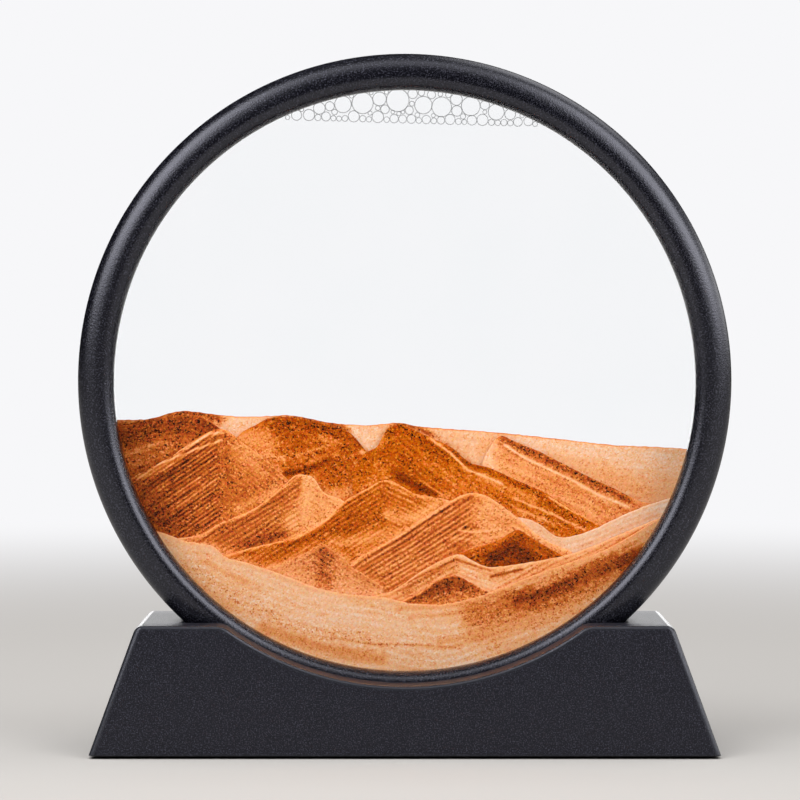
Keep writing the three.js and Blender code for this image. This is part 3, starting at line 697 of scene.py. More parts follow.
def moulded_abs(name, black, fleck, roughness, texture, refraction):
    """ABS moulded in a spark-eroded tool: a dark satin skin whose fine pits catch the light as flecks.
    Edges that hands touch are rubbed smooth and are painted a little paler, as a painted highlight."""
    material, tree = new_material(name)
    edge = carried(tree, "edge")
    # The pits are about 0.1 mm in life and are drawn coarser so that they show
    pits = cloud(tree, texture, 2.0, 0.6)
    flecks = add_node(tree, "ShaderNodeMapRange", {
        "Value": pits, "From Min": 0.51, "From Max": 0.7}).outputs["Result"]
    colour = mix_colours(tree, flecks, opaque(black), opaque(fleck))
    bump = add_node(tree, "ShaderNodeBump", {"Height": pits, "Strength": 0.8, "Distance": 0.08 * MM})
    close_principled(tree, {
        # Along the rubbed edges the colour turns paler: a painted highlight, beside the real smoother skin
        "Base Color": mix_colours(tree, edge, colour, opaque(linear("#26272c"))),
        "Roughness": stretch(tree, edge, roughness, 0.24),
        "Normal": bump.outputs["Normal"],
        "IOR": refraction,
        "Specular Tint": opaque(linear("#eeeffe"))})
    return material


def float_glass(name):
    """Clear float glass: next to no reflection seen straight on, more and more towards a glancing view."""
    material, tree = new_material(name)
    smear = cloud(tree, 40 * MM, 2.0)
    facing = add_node(tree, "ShaderNodeLayerWeight", {"Blend": 0.5}).outputs["Facing"]
    glancing = calculate(tree, "POWER", facing, 5.0)
    shine = stretch(tree, glancing, 0.003, 0.8)
    clear = add_node(tree, "ShaderNodeBsdfTransparent").outputs["BSDF"]
    gloss = add_node(tree, "ShaderNodeBsdfGlossy", {
        "Roughness": stretch(tree, smear, 0.02, 0.05)}).outputs["BSDF"]
    close_material(tree, mix_shaders(tree, shine, clear, gloss))
    return material


def clear_liquid(name, tint):
    """The clear liquid between sand and glass: only a trace of colour, a little uneven."""
    material, tree = new_material(name)
    drift = cloud(tree, 30 * MM, 1.0)
    colour = mix_colours(tree, drift, opaque(tint), (1, 1, 1, 1))
    clear = add_node(tree, "ShaderNodeBsdfTransparent", {"Color": colour})
    close_material(tree, clear.outputs["BSDF"])
    return material


def air_skin(name, outline):
    """Air in liquid: clear in the middle, and a thin grey rim where the skin turns the light aside."""
    material, tree = new_material(name)
    facing = add_node(tree, "ShaderNodeLayerWeight", {"Blend": 0.5}).outputs["Facing"]
    brink = carried(tree, "brink")
    rim = add_node(tree, "ShaderNodeMapRange", {
        "Value": facing, "From Min": brink, "From Max": 0.95, "To Max": 0.9}).outputs["Result"]
    clear = add_node(tree, "ShaderNodeBsdfTransparent").outputs["BSDF"]
    skin = add_node(tree, "ShaderNodeBsdfPrincipled", {
        "Base Color": opaque(outline), "Roughness": 0.3, "IOR": 1.33}).outputs["BSDF"]
    close_material(tree, mix_shaders(tree, rim, clear, skin))
    return material


def dyed_sand(name, grain):
    """Dyed quartz sand: dull grains whose tones scatter about the one that the dune carries, darkened by the
    dune's painted shade.
    """
    material, tree = new_material(name)
    place = add_node(tree, "ShaderNodeTexCoord").outputs["Object"]
    grains = add_node(tree, "ShaderNodeTexVoronoi", {"Vector": place, "Scale": 1 / grain})
    lots = add_node(tree, "ShaderNodeSeparateColor", {"Color": grains.outputs["Color"]})
    scatter = [(lot, (share, share, share)) for lot, share in GRAIN_SCATTER]
    swing = stretch(tree, add_ramp(tree, lots.outputs["Red"], scatter), -GRAIN_SWING, GRAIN_SWING)
    shown = calculate(tree, "MULTIPLY_ADD", swing, carried(tree, "speckle"), carried(tree, "tone"))
    glint = stretch(tree, lots.outputs["Blue"], 0.94, 1.06)
    colour = add_node(tree, "ShaderNodeHueSaturation", {
        "Hue": stretch(tree, lots.outputs["Green"], 0.488, 0.512),
        "Saturation": carried(tree, "rich"),
        # The carried light is painted shade: a dune painted duller than sand in full light
        "Value": calculate(tree, "MULTIPLY", glint, carried(tree, "light")),
        "Color": add_ramp(tree, shown, [(stop, linear(code)) for stop, code in SAND_TONES])})
    bump = add_node(tree, "ShaderNodeBump", {
        "Height": grains.outputs["Distance"], "Strength": 0.3, "Distance": 0.1 * MM}, invert=True)
    close_principled(tree, {
        "Base Color": colour.outputs["Color"],
        "Roughness": stretch(tree, lots.outputs["Blue"], 0.95, 0.8),
        "Normal": bump.outputs["Normal"],
        "Specular IOR Level": 0.15})
    return material


# Sand, in millimetres about the ring's centre

class Uneven(NamedTuple):
    """One kind of unevenness: soft noise with bumps of a given length across and up."""

    across: float
    up: float
    strength: float
    lot: int  # what it adds to the seed of a dune

    def at(self, across, up, seed):
        return self.strength * soft_noise(across / self.across, up / self.up, seed + self.lot)


LAYER_BENDS = Uneven(12, 8, 0.4, 0)
LAYER_STREAKS = Uneven(14, 0.5, 0.6, 1)  # the streaks' length up is a share of the layers' spacing
FINE_STREAKS = Uneven(4, 0.25, 0.4, 2)
RAGGED_MARKS = Uneven(1.4, 0.9, 0.35, 6)
FINELY_RAGGED_MARKS = Uneven(0.5, 0.4, 0.245, 12)
PATCHES = Uneven(8, 4, 0.04, 7)
SMALL_PATCHES = Uneven(3, 1.6, 0.02, 8)
CLUMPS = Uneven(2.2, 1.4, 0.35, 9)
CREST_WIDTHS = Uneven(7, 1, 0.4, 10)
CREST_BREAKS = Uneven(4, 1, 0.5, 11)
RAGGED_CREST = Uneven(1.1, 1, 0.1, 0)
DUNE_LOTS = 20  # from the seed of one dune's tones to that of the next one's
FALLING_LOTS = 3  # from the lots of a rising flank's layers to those of a falling one's

WAVE_STRENGTH = 0.6  # of the even layers among the streaks
FLANK_CHANGE = 0.4  # change of slope over which a rising flank turns into a falling one
MARK_LAYERS = 0.5  # share of the layers that shows through a mark
UNDER_PLACE, UNDER_WIDTH = 1.7, 0.45  # of the dark line under the crest, in widths of the crest's band
UNDER_DARKNESS = 0.35
UNDER_STRENGTH = 0.7  # of that line on average along the crest
CREST_SMOOTHNESS = 0.6  # share of the single grains that the crest's band hides
EYE_POWER = 2.2  # from the painted shade, as the eye sees it, to less light

CREST_STEP = 0.1
CREST_SMOOTHING = 0.5
SLOPE_SMOOTHING = 2.2
FACE_TOLERANCE = 0.01
WALL_SHARE = 0.997  # of the cell's radius: a corner further out lies on the cell's wall
FREE_END = 0.2  # from the last corner of a crest to its end, where it ends short of the wall
HIDDEN_DEPTH = 5.0  # that a dune goes on below the next crest
LEAST_HEIGHT = 0.3
LEAST_ROWS, MOST_ROWS = 8, 150
CREST_LEAN, CREST_LEAN_HEIGHT = 0.16, 0.25  # how far the crest leans back, and over what height


class Crest(NamedTuple):
    """The upper edge of a dune, evenly sampled, and where its front and back faces lie."""

    across: np.ndarray
    height: np.ndarray
    slope: np.ndarray
    front: float
    back: float


def spread(values, width):
    """Values smoothed by a bell-shaped weight that is width samples wide, with the ends held."""
    reach = int(3 * width)
    weights = np.exp(-0.5 * (np.arange(-reach, reach + 1) / width) ** 2)
    return np.convolve(np.pad(values, reach, mode="edge"), weights / weights.sum(), mode="valid")


def crest_of(name, seed):
    """The crest runs through the corners of the solid's front face that lie clear of the cell's wall, and
    on to the wall where the solid does. It is smoothed and gets a slight raggedness."""
    points = (node_points(name) - (0, 0, RING_HEIGHT)) / MM
    face = points[points[:, 1] < points[:, 1].min() + FACE_TOLERANCE][:, [0, 2]]
    face = np.unique(np.round(face, 3), axis=0)
    line = face[np.hypot(*face.T) < CELL_RADIUS / MM * WALL_SHARE]
    left = face[face[:, 0] < line[0, 0] - FACE_TOLERANCE]
    right = face[face[:, 0] > line[-1, 0] + FACE_TOLERANCE]
    ends = [side[np.argmax(side[:, 1])][None] if len(side) else np.empty((0, 2)) for side in (left, right)]
    line = np.concatenate([ends[0], line, ends[1]])
    wall = np.sqrt(SAND_RADIUS ** 2 - line[[0, -1], 1] ** 2)
    first = -wall[0] if len(left) else line[0, 0] + FREE_END
    last = wall[1] if len(right) else line[-1, 0] - FREE_END
    across = np.arange(first, last, CREST_STEP)
    height = spread(np.interp(across, *line.T), CREST_SMOOTHING / CREST_STEP)
    slope = np.gradient(spread(height, SLOPE_SMOOTHING / CREST_STEP), CREST_STEP)
    height = height + RAGGED_CREST.at(across, 0 * across, seed) - RAGGED_CREST.strength
    return Crest(across, height, slope, points[:, 1].min(), points[:, 1].max())


def distance_to(path, across, height):
    """Distance of points from a path of straight stretches, the least over its stretches."""
    nearest = np.full(np.shape(across), np.inf)
    for (x0, z0), (x1, z1) in zip(path[:-1], path[1:]):
        run, rise = x1 - x0, z1 - z0
        share = np.clip(((across - x0) * run + (height - z0) * rise) / (run ** 2 + rise ** 2), 0, 1)
        nearest = np.minimum(nearest, np.hypot(across - x0 - share * run, height - z0 - share * rise))
    return nearest


def layering(along, over, spacing, seed):
    """Layers from -1 to 1: a sine of the distance over the layers, bent by noise, plus noise that is
    stretched along them."""
    bent = over + spacing * LAYER_BENDS.at(along, over, seed)
    wave = WAVE_STRENGTH * np.sin(2 * np.pi * bent / spacing)
    streak = LAYER_STREAKS.at(along, bent / spacing, seed)
    fine = FINE_STREAKS.at(along, bent / spacing, seed)
    return np.clip(wave + streak + fine, -1, 1)


def dune_layers(dune, seed, across, height, below, falling):
    """A dune's layers times their contrast. They follow the crest, or lie at each flank's own dip."""
    contrast = between(*dune.layers, falling)
    if not dune.dips:
        return contrast * layering(across, -below, dune.spacing, seed)
    sets = []
    for side, dip in enumerate(dune.dips):
        turn = math.radians(dip)
        along = across * math.cos(turn) + height * math.sin(turn)
        over = height * math.cos(turn) - across * math.sin(turn)
        sets.append(layering(along, over, dune.spacing, seed + FALLING_LOTS * side))
    return contrast * between(*sets, falling)


def paint(dune, crest, seed, across, height, cover):
    """Tone and grain strength at points of a dune's face, and its layers. The tone goes from the flank's
    own to the deep one with the depth below the crest. Layers, marks, the foot and the crest come on top."""
    below = np.interp(across, crest.across, crest.height) - height
    falling = ease(0.5 - np.interp(across, crest.across, crest.slope) / FLANK_CHANGE)
    sunk = 1 - np.exp(-np.maximum(below, 0) / dune.fade)
    rising_tone, falling_tone, deep_tone = dune.tones
    tone = between(between(rising_tone, falling_tone, falling), deep_tone, sunk)
    speckle = dune.speckle * (1 + CLUMPS.at(across, height, seed))
    layers = dune_layers(dune, seed, across, height, below, falling)
    tone = tone + layers + PATCHES.at(across, height, seed) + SMALL_PATCHES.at(across, height, seed)

    foot_width, foot_tone, foot_strength = dune.foot
    foot = foot_strength * np.exp(-np.maximum(height - cover, 0) / foot_width)
    tone = between(tone, foot_tone, foot)

    unit = WINDOW_RADIUS / MM / 100
    ragged = 1 + RAGGED_MARKS.at(across, height, seed) + FINELY_RAGGED_MARKS.at(across, height, seed)
    for mark in dune.marks:
        away = distance_to(np.array(mark.path) * unit, across, height)
        weight = mark.strength * np.exp(-(away / (mark.width * ragged)) ** 2)
        tone = between(tone, mark.tone + MARK_LAYERS * layers, weight)
        if mark.speckle is not None:
            speckle = between(speckle, mark.speckle, weight)

    width, crest_tone, *crest_strengths = dune.crest
    width = width * (1 + CREST_WIDTHS.at(across, 0 * across, seed))
    strength = between(*crest_strengths, falling)
    band = strength * np.exp(-(np.maximum(below, 0) / width) ** 2)
    broken = UNDER_STRENGTH + CREST_BREAKS.at(across, 0 * across, seed)
    line = np.exp(-((below - UNDER_PLACE * width) / (UNDER_WIDTH * width)) ** 2)
    tone = between(tone, crest_tone, band) - UNDER_DARKNESS * dune.under * strength * broken * line
    speckle = speckle * (1 - CREST_SMOOTHNESS * band)
    return np.clip(tone, 0, 1), speckle, layers


def painted_shade_brightness(dune):
    """How bright a dune is painted: its painted shade makes it duller than sand in full light."""
    return (1 - dune.painted_shade) ** EYE_POWER


def dune_back(place, crests, across, low, top):
    """The back of a dune and what it carries. The rearmost one shows through the rear pane, so it is
    painted there with all the dunes in front of it, as far as they reach."""
    names = list(DUNES)
    rows = 2 if place else BACK_ROWS
    height = low[:, None] + (top - low)[:, None] * np.linspace(0, 1, rows)
    wide = np.repeat(across[:, None], rows, axis=1)
    tone, speckle, light, rich = (np.zeros_like(wide) for _ in range(4))
    for painted in range(place, place + 1 if place else len(names)):
        dune, crest = DUNES[names[painted]], crests[names[painted]]
        inside = (wide > crest.across[0]) & (wide < crest.across[-1])
        inside &= height < np.interp(wide, crest.across, crest.height)
        inside |= painted == place
        seen = paint(dune, crest, DUNE_LOTS * painted, wide, height, NO_COVER)
        tone = np.where(inside, seen[0], tone)
        speckle = np.where(inside, seen[1], speckle)
        # light: the dune's painted shade, as a brightness
        light = np.where(inside, painted_shade_brightness(dune), light)
        rich = np.where(inside, dune.rich, rich)
    face = np.stack([wide, np.full_like(wide, crests[names[place]].back), height], axis=-1)
    return face, {"tone": tone, "speckle": speckle, "light": light, "rich": rich}


def dune_surface(name, place, crests, ripple):
    """A dune as a closed strip: columns across, and in each column a loop down the front face and up the
    back. Only what can be seen of the front is made, down to a few millimetres under the next crest."""
    dune, crest = DUNES[name], crests[name]
    columns = int((crest.across[-1] - crest.across[0]) / COLUMN_WIDTH) + 1
    across = np.linspace(crest.across[0], crest.across[-1], columns)
    top = np.interp(across, crest.across, crest.height)
    floor = -np.sqrt(np.maximum(SAND_RADIUS ** 2 - across ** 2, 0))
    cover = np.full(columns, NO_COVER)
    for nearer in list(DUNES)[place + 1:]:
        other = crests[nearer]
        seen = np.interp(across, other.across, other.height, left=NO_COVER, right=NO_COVER)
        cover = np.maximum(cover, seen)
    hidden = np.minimum(cover, top) - HIDDEN_DEPTH
    low = np.minimum(np.maximum(hidden, floor), top - LEAST_HEIGHT)
    rows = int(np.clip((top - low).max() / ROW_HEIGHT, LEAST_ROWS, MOST_ROWS))
    height = top[:, None] + (low - top)[:, None] * np.linspace(0, 1, rows)
    wide = np.repeat(across[:, None], rows, axis=1)
    tone, speckle, layers = paint(dune, crest, DUNE_LOTS * place, wide, height, cover[:, None])
    relief = ripple / MM * (0.5 - 0.5 * layers)
    relief = relief + CREST_LEAN * np.exp(-(top[:, None] - height) / CREST_LEAN_HEIGHT)
    front = np.stack([wide, crest.front + relief, height], axis=-1)
    carries = {
        "tone": tone,
        "speckle": speckle,
        # painted shade, as a brightness
        "light": np.full_like(tone, painted_shade_brightness(dune)),
        "rich": np.full_like(tone, dune.rich),
    }
    back_low = low if place else np.minimum(floor, top - LEAST_HEIGHT)
    back, back_carries = dune_back(place, crests, across, back_low, top)
    loop = np.concatenate([front, back], axis=1)
    count = loop.shape[1]
    faces = grid_faces(columns, count, wrap_columns=True)
    caps = [range(count), range((columns - 1) * count, columns * count)]
    attributes = {key: np.concatenate([values, back_carries[key]], axis=1) for key, values in carries.items()}
    return loop.reshape(-1, 3) * MM + (0, 0, RING_HEIGHT), faces, caps, attributes


# Operators

class SANDFRAME_OT_ring(bpy.types.Operator):
    """Makes both halves of the black ring"""

    bl_idname = "sandframe.ring"
    bl_label = "Ring halves"

    def execute(self, context):
        ring = context.scene.sandframe_ring
        abs_skin = moulded_abs(
            "moulded_abs_ring", ring.black, ring.fleck, roughness=0.25, texture=0.46 * MM, refraction=1.54)
        for name, side in (("front_ring", -1), ("rear_ring", 1)):
            section = self.section(ring, opening_radius(name))
            points, faces = turned(section * (1, side), RING_STEPS)
            dress(name + "_skin", about_ring(points), faces, abs_skin, "frame", [name],
                  crease=50)
        return {"FINISHED"}

    @staticmethod
    def section(ring, opening):
        """One half in section: from the pane's edge over two quarter ellipses, the inner and the outer round,
        to the seam, then inside."""
        lip_back = RING_HALF - ring.inner_round - ring.lip_edge
        middle = RING_RADIUS - ring.round_width
        turn = np.linspace(np.pi / 2, 0, ROUND_STEPS)
        outer_round = np.stack([
            middle + ring.round_width * np.cos(turn),
            RING_HALF - ring.rounding + ring.rounding * np.sin(turn)], axis=1)
        inner_round = np.stack([
            middle - (middle - opening) * np.cos(turn[:0:-1]),
            RING_HALF - ring.inner_round + ring.inner_round * np.sin(turn[:0:-1])], axis=1)
        inside = RING_RADIUS - ring.wall
        hollow = RING_HALF - ring.wall
        pocket = WINDOW_RADIUS + ring.pocket
        corners = np.concatenate([
            [[opening, lip_back]],
            inner_round,
            outer_round,
            [[RING_RADIUS, ring.seam], [RING_RADIUS - ring.seam, 0], [inside, 0],
             [inside, hollow], [pocket, hollow], [pocket, lip_back]]])
        cuts = np.zeros(len(corners))
        cuts[0] = ring.softening
        return softened(corners, cuts)


class SANDFRAME_OT_cell(bpy.types.Operator):
    """Makes the panes and the hoops between and round them, and finishes the plug and the water"""

    bl_idname = "sandframe.cell"
    bl_label = "Glass cell"

    def execute(self, context):
        cell = context.scene.sandframe_cell
        glass = float_glass("float_glass")
        acrylic = cast_acrylic("cast_acrylic")
        silicone = silicone_seal("silicone_seal")
        rubber = moulded_rubber("moulded_rubber_cell")
        for name in ("front_pane", "rear_pane"):
            self.pane(name, cell.chamfer, glass)
        for name, material, slot in (
                ("spacer_ring", acrylic, "clear_acrylic"),
                ("front_gasket", silicone, "silicone"),
                ("rear_gasket", silicone, "silicone"),
                ("edge_band", rubber, "black_rubber")):
            self.hoop(name, material, slot)
        keep_node("fill_plug", rubber)
        keep_node("water", clear_liquid("clear_liquid", cell.tint))
        return {"FINISHED"}

    @staticmethod
    def pane(name, chamfer, glass):
        """A disc: straight out from the axis, round the ground edge and back to the axis."""
        low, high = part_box(name)
        radius = (high.x - low.x) / 2
        profile = np.array([
            [0, low.y], [radius - chamfer, low.y], [radius, low.y + chamfer],
            [radius, high.y - chamfer], [radius - chamfer, high.y], [0, high.y]])
        points, faces = turned(profile, RING_STEPS, closed=False)
        dress(name + "_disc", about_ring(points), faces, glass, "frame", [name])

    @staticmethod
    def hoop(name, material, slot):
        """A plain hoop of rectangular section, as wide as its solid."""
        points = node_points(name) - (0, 0, RING_HEIGHT)
        radii = np.hypot(points[:, 0], points[:, 2])
        inner, outer = np.percentile(radii, PORT_CORNERS), radii.max()
        low, high = points[:, 1].min(), points[:, 1].max()
        corners = np.array([[inner, low], [outer, low], [outer, high], [inner, high]])
        points, faces = turned(softened(corners, np.full(len(corners), HOOP_EDGE)), RING_STEPS)
        dress(name + "_hoop", about_ring(points), faces, material, "frame", [name])


class SANDFRAME_OT_sand(bpy.types.Operator):
    """Makes the fifteen bodies of sand"""

    bl_idname = "sandframe.sand"
    bl_label = "Dunes"

    def execute(self, context):
        sand = context.scene.sandframe_sand
        grains = dyed_sand("dyed_quartz_sand", sand.grain)
        crests = {name: crest_of(name, place) for place, name in enumerate(DUNES)}
        for place, name in enumerate(DUNES):
            points, faces, caps, attributes = dune_surface(name, place, crests, sand.ripple)
            dress(name + "_grains", points, faces, grains, "frame", [name],
                  caps=caps, attributes=attributes, crease=60)
        return {"FINISHED"}


class SANDFRAME_OT_bubbles(bpy.types.Operator):
    """Makes the bubbles that float under the top of the cell"""

    bl_idname = "sandframe.bubbles"
    bl_label = "Bubbles"

    def execute(self, context):
        skin = air_skin("air_in_liquid", context.scene.sandframe_cell.outline)
        across, height, radius = self.foam(CELL_RADIUS / MM)
        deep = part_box("bubble_raft")[1].y / MM
        depth = np.minimum(BUBBLE_STANDOFF * radius, deep) - deep
        tilt = np.linspace(0, np.pi, BUBBLE_RINGS + 1)[:, None]
        turn = np.linspace(0, 2 * np.pi, BUBBLE_SECTORS, endpoint=False)
        ball = np.stack(np.broadcast_arrays(
            np.sin(tilt) * np.cos(turn), BUBBLE_DEPTH * np.cos(tilt), np.sin(tilt) * np.sin(turn)), axis=-1)
        ball = ball.reshape(-1, 3)
        centres = np.stack([across, depth, height], axis=1)
        points = centres[:, None] + ball * radius[:, None, None]
        faces = grid_faces(BUBBLE_RINGS + 1, BUBBLE_SECTORS, wrap_columns=True)
        faces = faces + np.arange(len(radius))[:, None, None] * len(ball)
        inside = np.clip(1 - RIM_WIDTH / radius, 0, 1)
        brink = np.repeat(1 - np.sqrt(1 - inside ** 2), len(ball))
        dress("bubble_raft_skins", points.reshape(-1, 3) * MM + (0, 0, RING_HEIGHT), faces.reshape(-1, 4),
              skin, "frame", ["bubble_raft"], attributes={"brink": brink})
        return {"FINISHED"}

    @staticmethod
    def foam(cell):
        """Bubbles packed side by side: a row of small ones along the lower edge, then the large ones where
        they touch most, then ever smaller ones in the widest gaps that are left."""
        lots = np.random.default_rng(FOAM_SEED)
        left, right = FOAM_DEPTH
        reach = math.sqrt(cell ** 2 - (cell - left) ** 2)

        def lower_edge(across):
            return cell - left - (right - left) * (across + reach) / (2 * reach)

        spots = lots.uniform((-reach, cell - right), (reach, cell), (FOAM_CANDIDATES, 2))
        placed = np.empty((0, 3))

        def clearance():
            """Distance of each candidate from the wall, the lower edge and the bubbles so far."""
            room = np.minimum(cell - np.hypot(*spots.T), spots[:, 1] - lower_edge(spots[:, 0]))
            if len(placed):
                gaps = np.hypot(spots[:, :1] - placed[:, 0], spots[:, 1:] - placed[:, 1]) - placed[:, 2]
                room = np.minimum(room, gaps.min(axis=1))
            return room

        across = -reach
        while across < reach:
            radius = lots.uniform(*LOWEST_RADII)
            spot = (across + radius, lower_edge(across + radius) + radius, radius)
            if math.hypot(spot[0], spot[1]) < cell - radius:
                placed = np.vstack([placed, spot])
            across += 2 * radius
        for radius in LARGEST_RADII:
            room = clearance()
            fits = np.where(room > radius, room, np.inf)
            best = int(np.argmin(fits))
            if np.isfinite(fits[best]):
                placed = np.vstack([placed, (*spots[best], radius)])
        smallest, largest = FILLING_RADII
        room = clearance()
        while room.max() > smallest:
            best = int(np.argmax(room))
            placed = np.vstack([placed, (*spots[best], min(room[best], largest))])
            room = clearance()
        return placed.T * np.array([[1], [1], [FOAM_OVERLAP]])


class SANDFRAME_OT_stand(bpy.types.Operator):
    """Makes the moulded stand with its cradle and groove"""

    bl_idname = "sandframe.stand"
    bl_label = "Stand"

    def execute(self, context):
        stand = context.scene.sandframe_stand
        ring = context.scene.sandframe_ring
        abs_skin = moulded_abs(
            "moulded_abs_stand", ring.black, stand.fleck, roughness=0.38, texture=0.36 * MM, refraction=1.44)
        # edge marks the rubbed edges, which the skin makes smoother and paints paler as a painted highlight
        points, faces, caps, edge = self.surface(stand)
        dress("base_shell_skin", points, faces, abs_skin, "base", ["base_shell"],
              caps=caps, attributes={"edge": edge}, crease=40)
        return {"FINISHED"}

    @staticmethod
    def top_height(across, stand):
        """Height of the top: the cradle's arc, the shoulder's arc, then flat."""
        cradle = RING_RADIUS - stand.lip_cover
        shoulder_height = stand_high.z - stand.shoulder
        shoulder_across = math.sqrt((cradle + stand.shoulder) ** 2 - (RING_HEIGHT - shoulder_height) ** 2)
        meeting = shoulder_across * cradle / (cradle + stand.shoulder)
        off = np.abs(across)
        hollow = RING_HEIGHT - np.sqrt(np.maximum(cradle ** 2 - off ** 2, 0))
        crown = shoulder_height + np.sqrt(np.maximum(stand.shoulder ** 2 - (off - shoulder_across) ** 2, 0))
        return np.where(off < meeting, hollow, np.where(off < shoulder_across, crown, stand_high.z))

    @staticmethod
    def groove_height(across, stand):
        """Height of the groove's floor: the ring's own round with its clearance, where that lies lower."""
        radius = RING_RADIUS + stand.clearance
        floor = RING_HEIGHT - np.sqrt(np.maximum(radius ** 2 - across ** 2, 0))
        return np.minimum(floor, SANDFRAME_OT_stand.top_height(across, stand))

    @classmethod
    def surface(cls, stand):
        """Cross-sections from end to end. Each is a loop of depth and height: front face, top, groove, top,
        back face, underside with the recess for the floor plate. A section's points lie across at a fixed
        share of the half width at their own height, so that the ends lean, and the last few sections of
        each end draw in along a quarter round."""
        lean = (stand_high.x - stand.top_width / 2) / (stand_high.z - stand_low.z)
        slant = math.hypot(1, lean)

        def half_width(height):
            return stand_high.x - (height - stand_low.z) * lean

        base_half = half_width(stand_low.z)
        recess_end = (base_half - stand.wall * slant) / (base_half - stand.end * slant)
        middle = np.linspace(-1, 1, STAND_STATIONS)
        brink = recess_end + np.array([-RECESS_BRINK, RECESS_BRINK])
        middle = np.unique(np.concatenate([middle, brink, -brink]))
        from_end = stand.end * (1 - np.sin(np.linspace(0, np.pi / 2, END_STATIONS + 1)))[1:]
        place = np.concatenate([-np.ones(END_STATIONS), middle, np.ones(END_STATIONS)])
        end_gap = np.concatenate([from_end[::-1], np.full(len(middle), stand.end), from_end])
        inset = stand.end - np.sqrt(stand.end ** 2 - (stand.end - end_gap) ** 2)
        recessed = (np.abs(place) < recess_end) & (end_gap == stand.end)

        def across_at(height):
            return place * (half_width(height) - end_gap * slant)

        top = np.full(len(place), stand_high.z)
        groove = top.copy()
        for _ in range(SETTLING_ROUNDS):
            top = 0.5 * top + 0.5 * cls.top_height(across_at(top), stand)
            groove = 0.5 * groove + 0.5 * cls.groove_height(across_at(groove), stand)
        top = top - inset
        groove = np.minimum(groove, top)
        depth = np.full(len(place), stand_high.y) - inset
        groove_half = np.full(len(place), RING_HALF + stand.clearance)
        bottom = np.full(len(place), stand_low.z)
        rim = np.full(len(place), stand_high.y - stand.wall)
        ceiling = np.where(recessed, stand_low.z + stand.recess, stand_low.z)
        corners = np.stack([
            np.stack(corner, axis=1) for corner in (
                (-depth, bottom), (-depth, top), (-groove_half, top), (-groove_half, groove),
                (groove_half, groove), (groove_half, top), (depth, top), (depth, bottom),
                (rim, bottom), (rim, ceiling), (-rim, ceiling), (-rim, bottom))], axis=1)
        outer = np.full(len(place), stand.edge)
        lower = np.full(len(place), stand.lower_edge)
        edge = np.minimum(stand.groove_edge, GROOVE_EDGE_SHARE * (top - groove))
        none = np.zeros(len(place))
        cuts = np.stack([
            lower, outer, edge, edge, edge, edge, outer, lower, none, none, none, none], axis=1)
        loops = softened(corners, cuts)
        # Rubbed edges, which get a smoother skin and a paler colour as a painted highlight
        within = np.arange(CORNER_STEPS) % (CORNER_STEPS - 1) > 0
        rubbed_highlit = np.isin(np.arange(corners.shape[1]), RUBBED_HIGHLIT_CORNERS) & (cuts > LEAST_ROUNDING)
        rounded = (rubbed_highlit[..., None] & within).reshape(len(place), -1) | (end_gap < stand.end)[:, None]
        height = loops[..., 1]
        across = place[:, None] * (half_width(height) - end_gap[:, None] * slant)
        points = np.stack([across, loops[..., 0], height], axis=-1)
        sections, count = points.shape[:2]
        faces = grid_faces(sections, count, wrap_columns=True)
        caps = [range(count), range((sections - 1) * count, sections * count)]
        return points.reshape(-1, 3), faces, caps, rounded.astype(float)


class SANDFRAME_OT_underside(bpy.types.Operator):
    """Makes the feet, and finishes the floor plate and its screws"""

    bl_idname = "sandframe.underside"
    bl_label = "Underside"

    def execute(self, context):
        rubber = moulded_rubber("moulded_rubber_feet")
        steel = plated_steel("plated_steel")
        ring = context.scene.sandframe_ring
        keep_node("base_floor", moulded_abs(
            "moulded_abs_floor", ring.black, ring.fleck, roughness=0.6, texture=0.5 * MM, refraction=1.4))
        for corner in CORNERS:
            keep_node("floor_screw_" + corner, steel)
            self.foot("foot_" + corner, rubber)
        return {"FINISHED"}

    @staticmethod
    def foot(name, rubber):
        """A short disc with a rounded lower edge, turned about its own upright axis."""
        low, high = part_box(name)
        radius = (high.x - low.x) / 2
        turn = np.linspace(0, np.pi / 2, CORNER_STEPS)
        lower = np.stack([
            radius - PAD_EDGE + PAD_EDGE * np.sin(turn), low.z + PAD_EDGE - PAD_EDGE * np.cos(turn)], axis=1)
        profile = np.concatenate([[[0, low.z]], lower, [[radius, high.z], [0, high.z]]])
        points, faces = turned(profile, FOOT_STEPS, closed=False)
        points = points + ((low.x + high.x) / 2, (low.y + high.y) / 2, 0)
        dress(name + "_pad", points, faces, rubber, "base", [name])


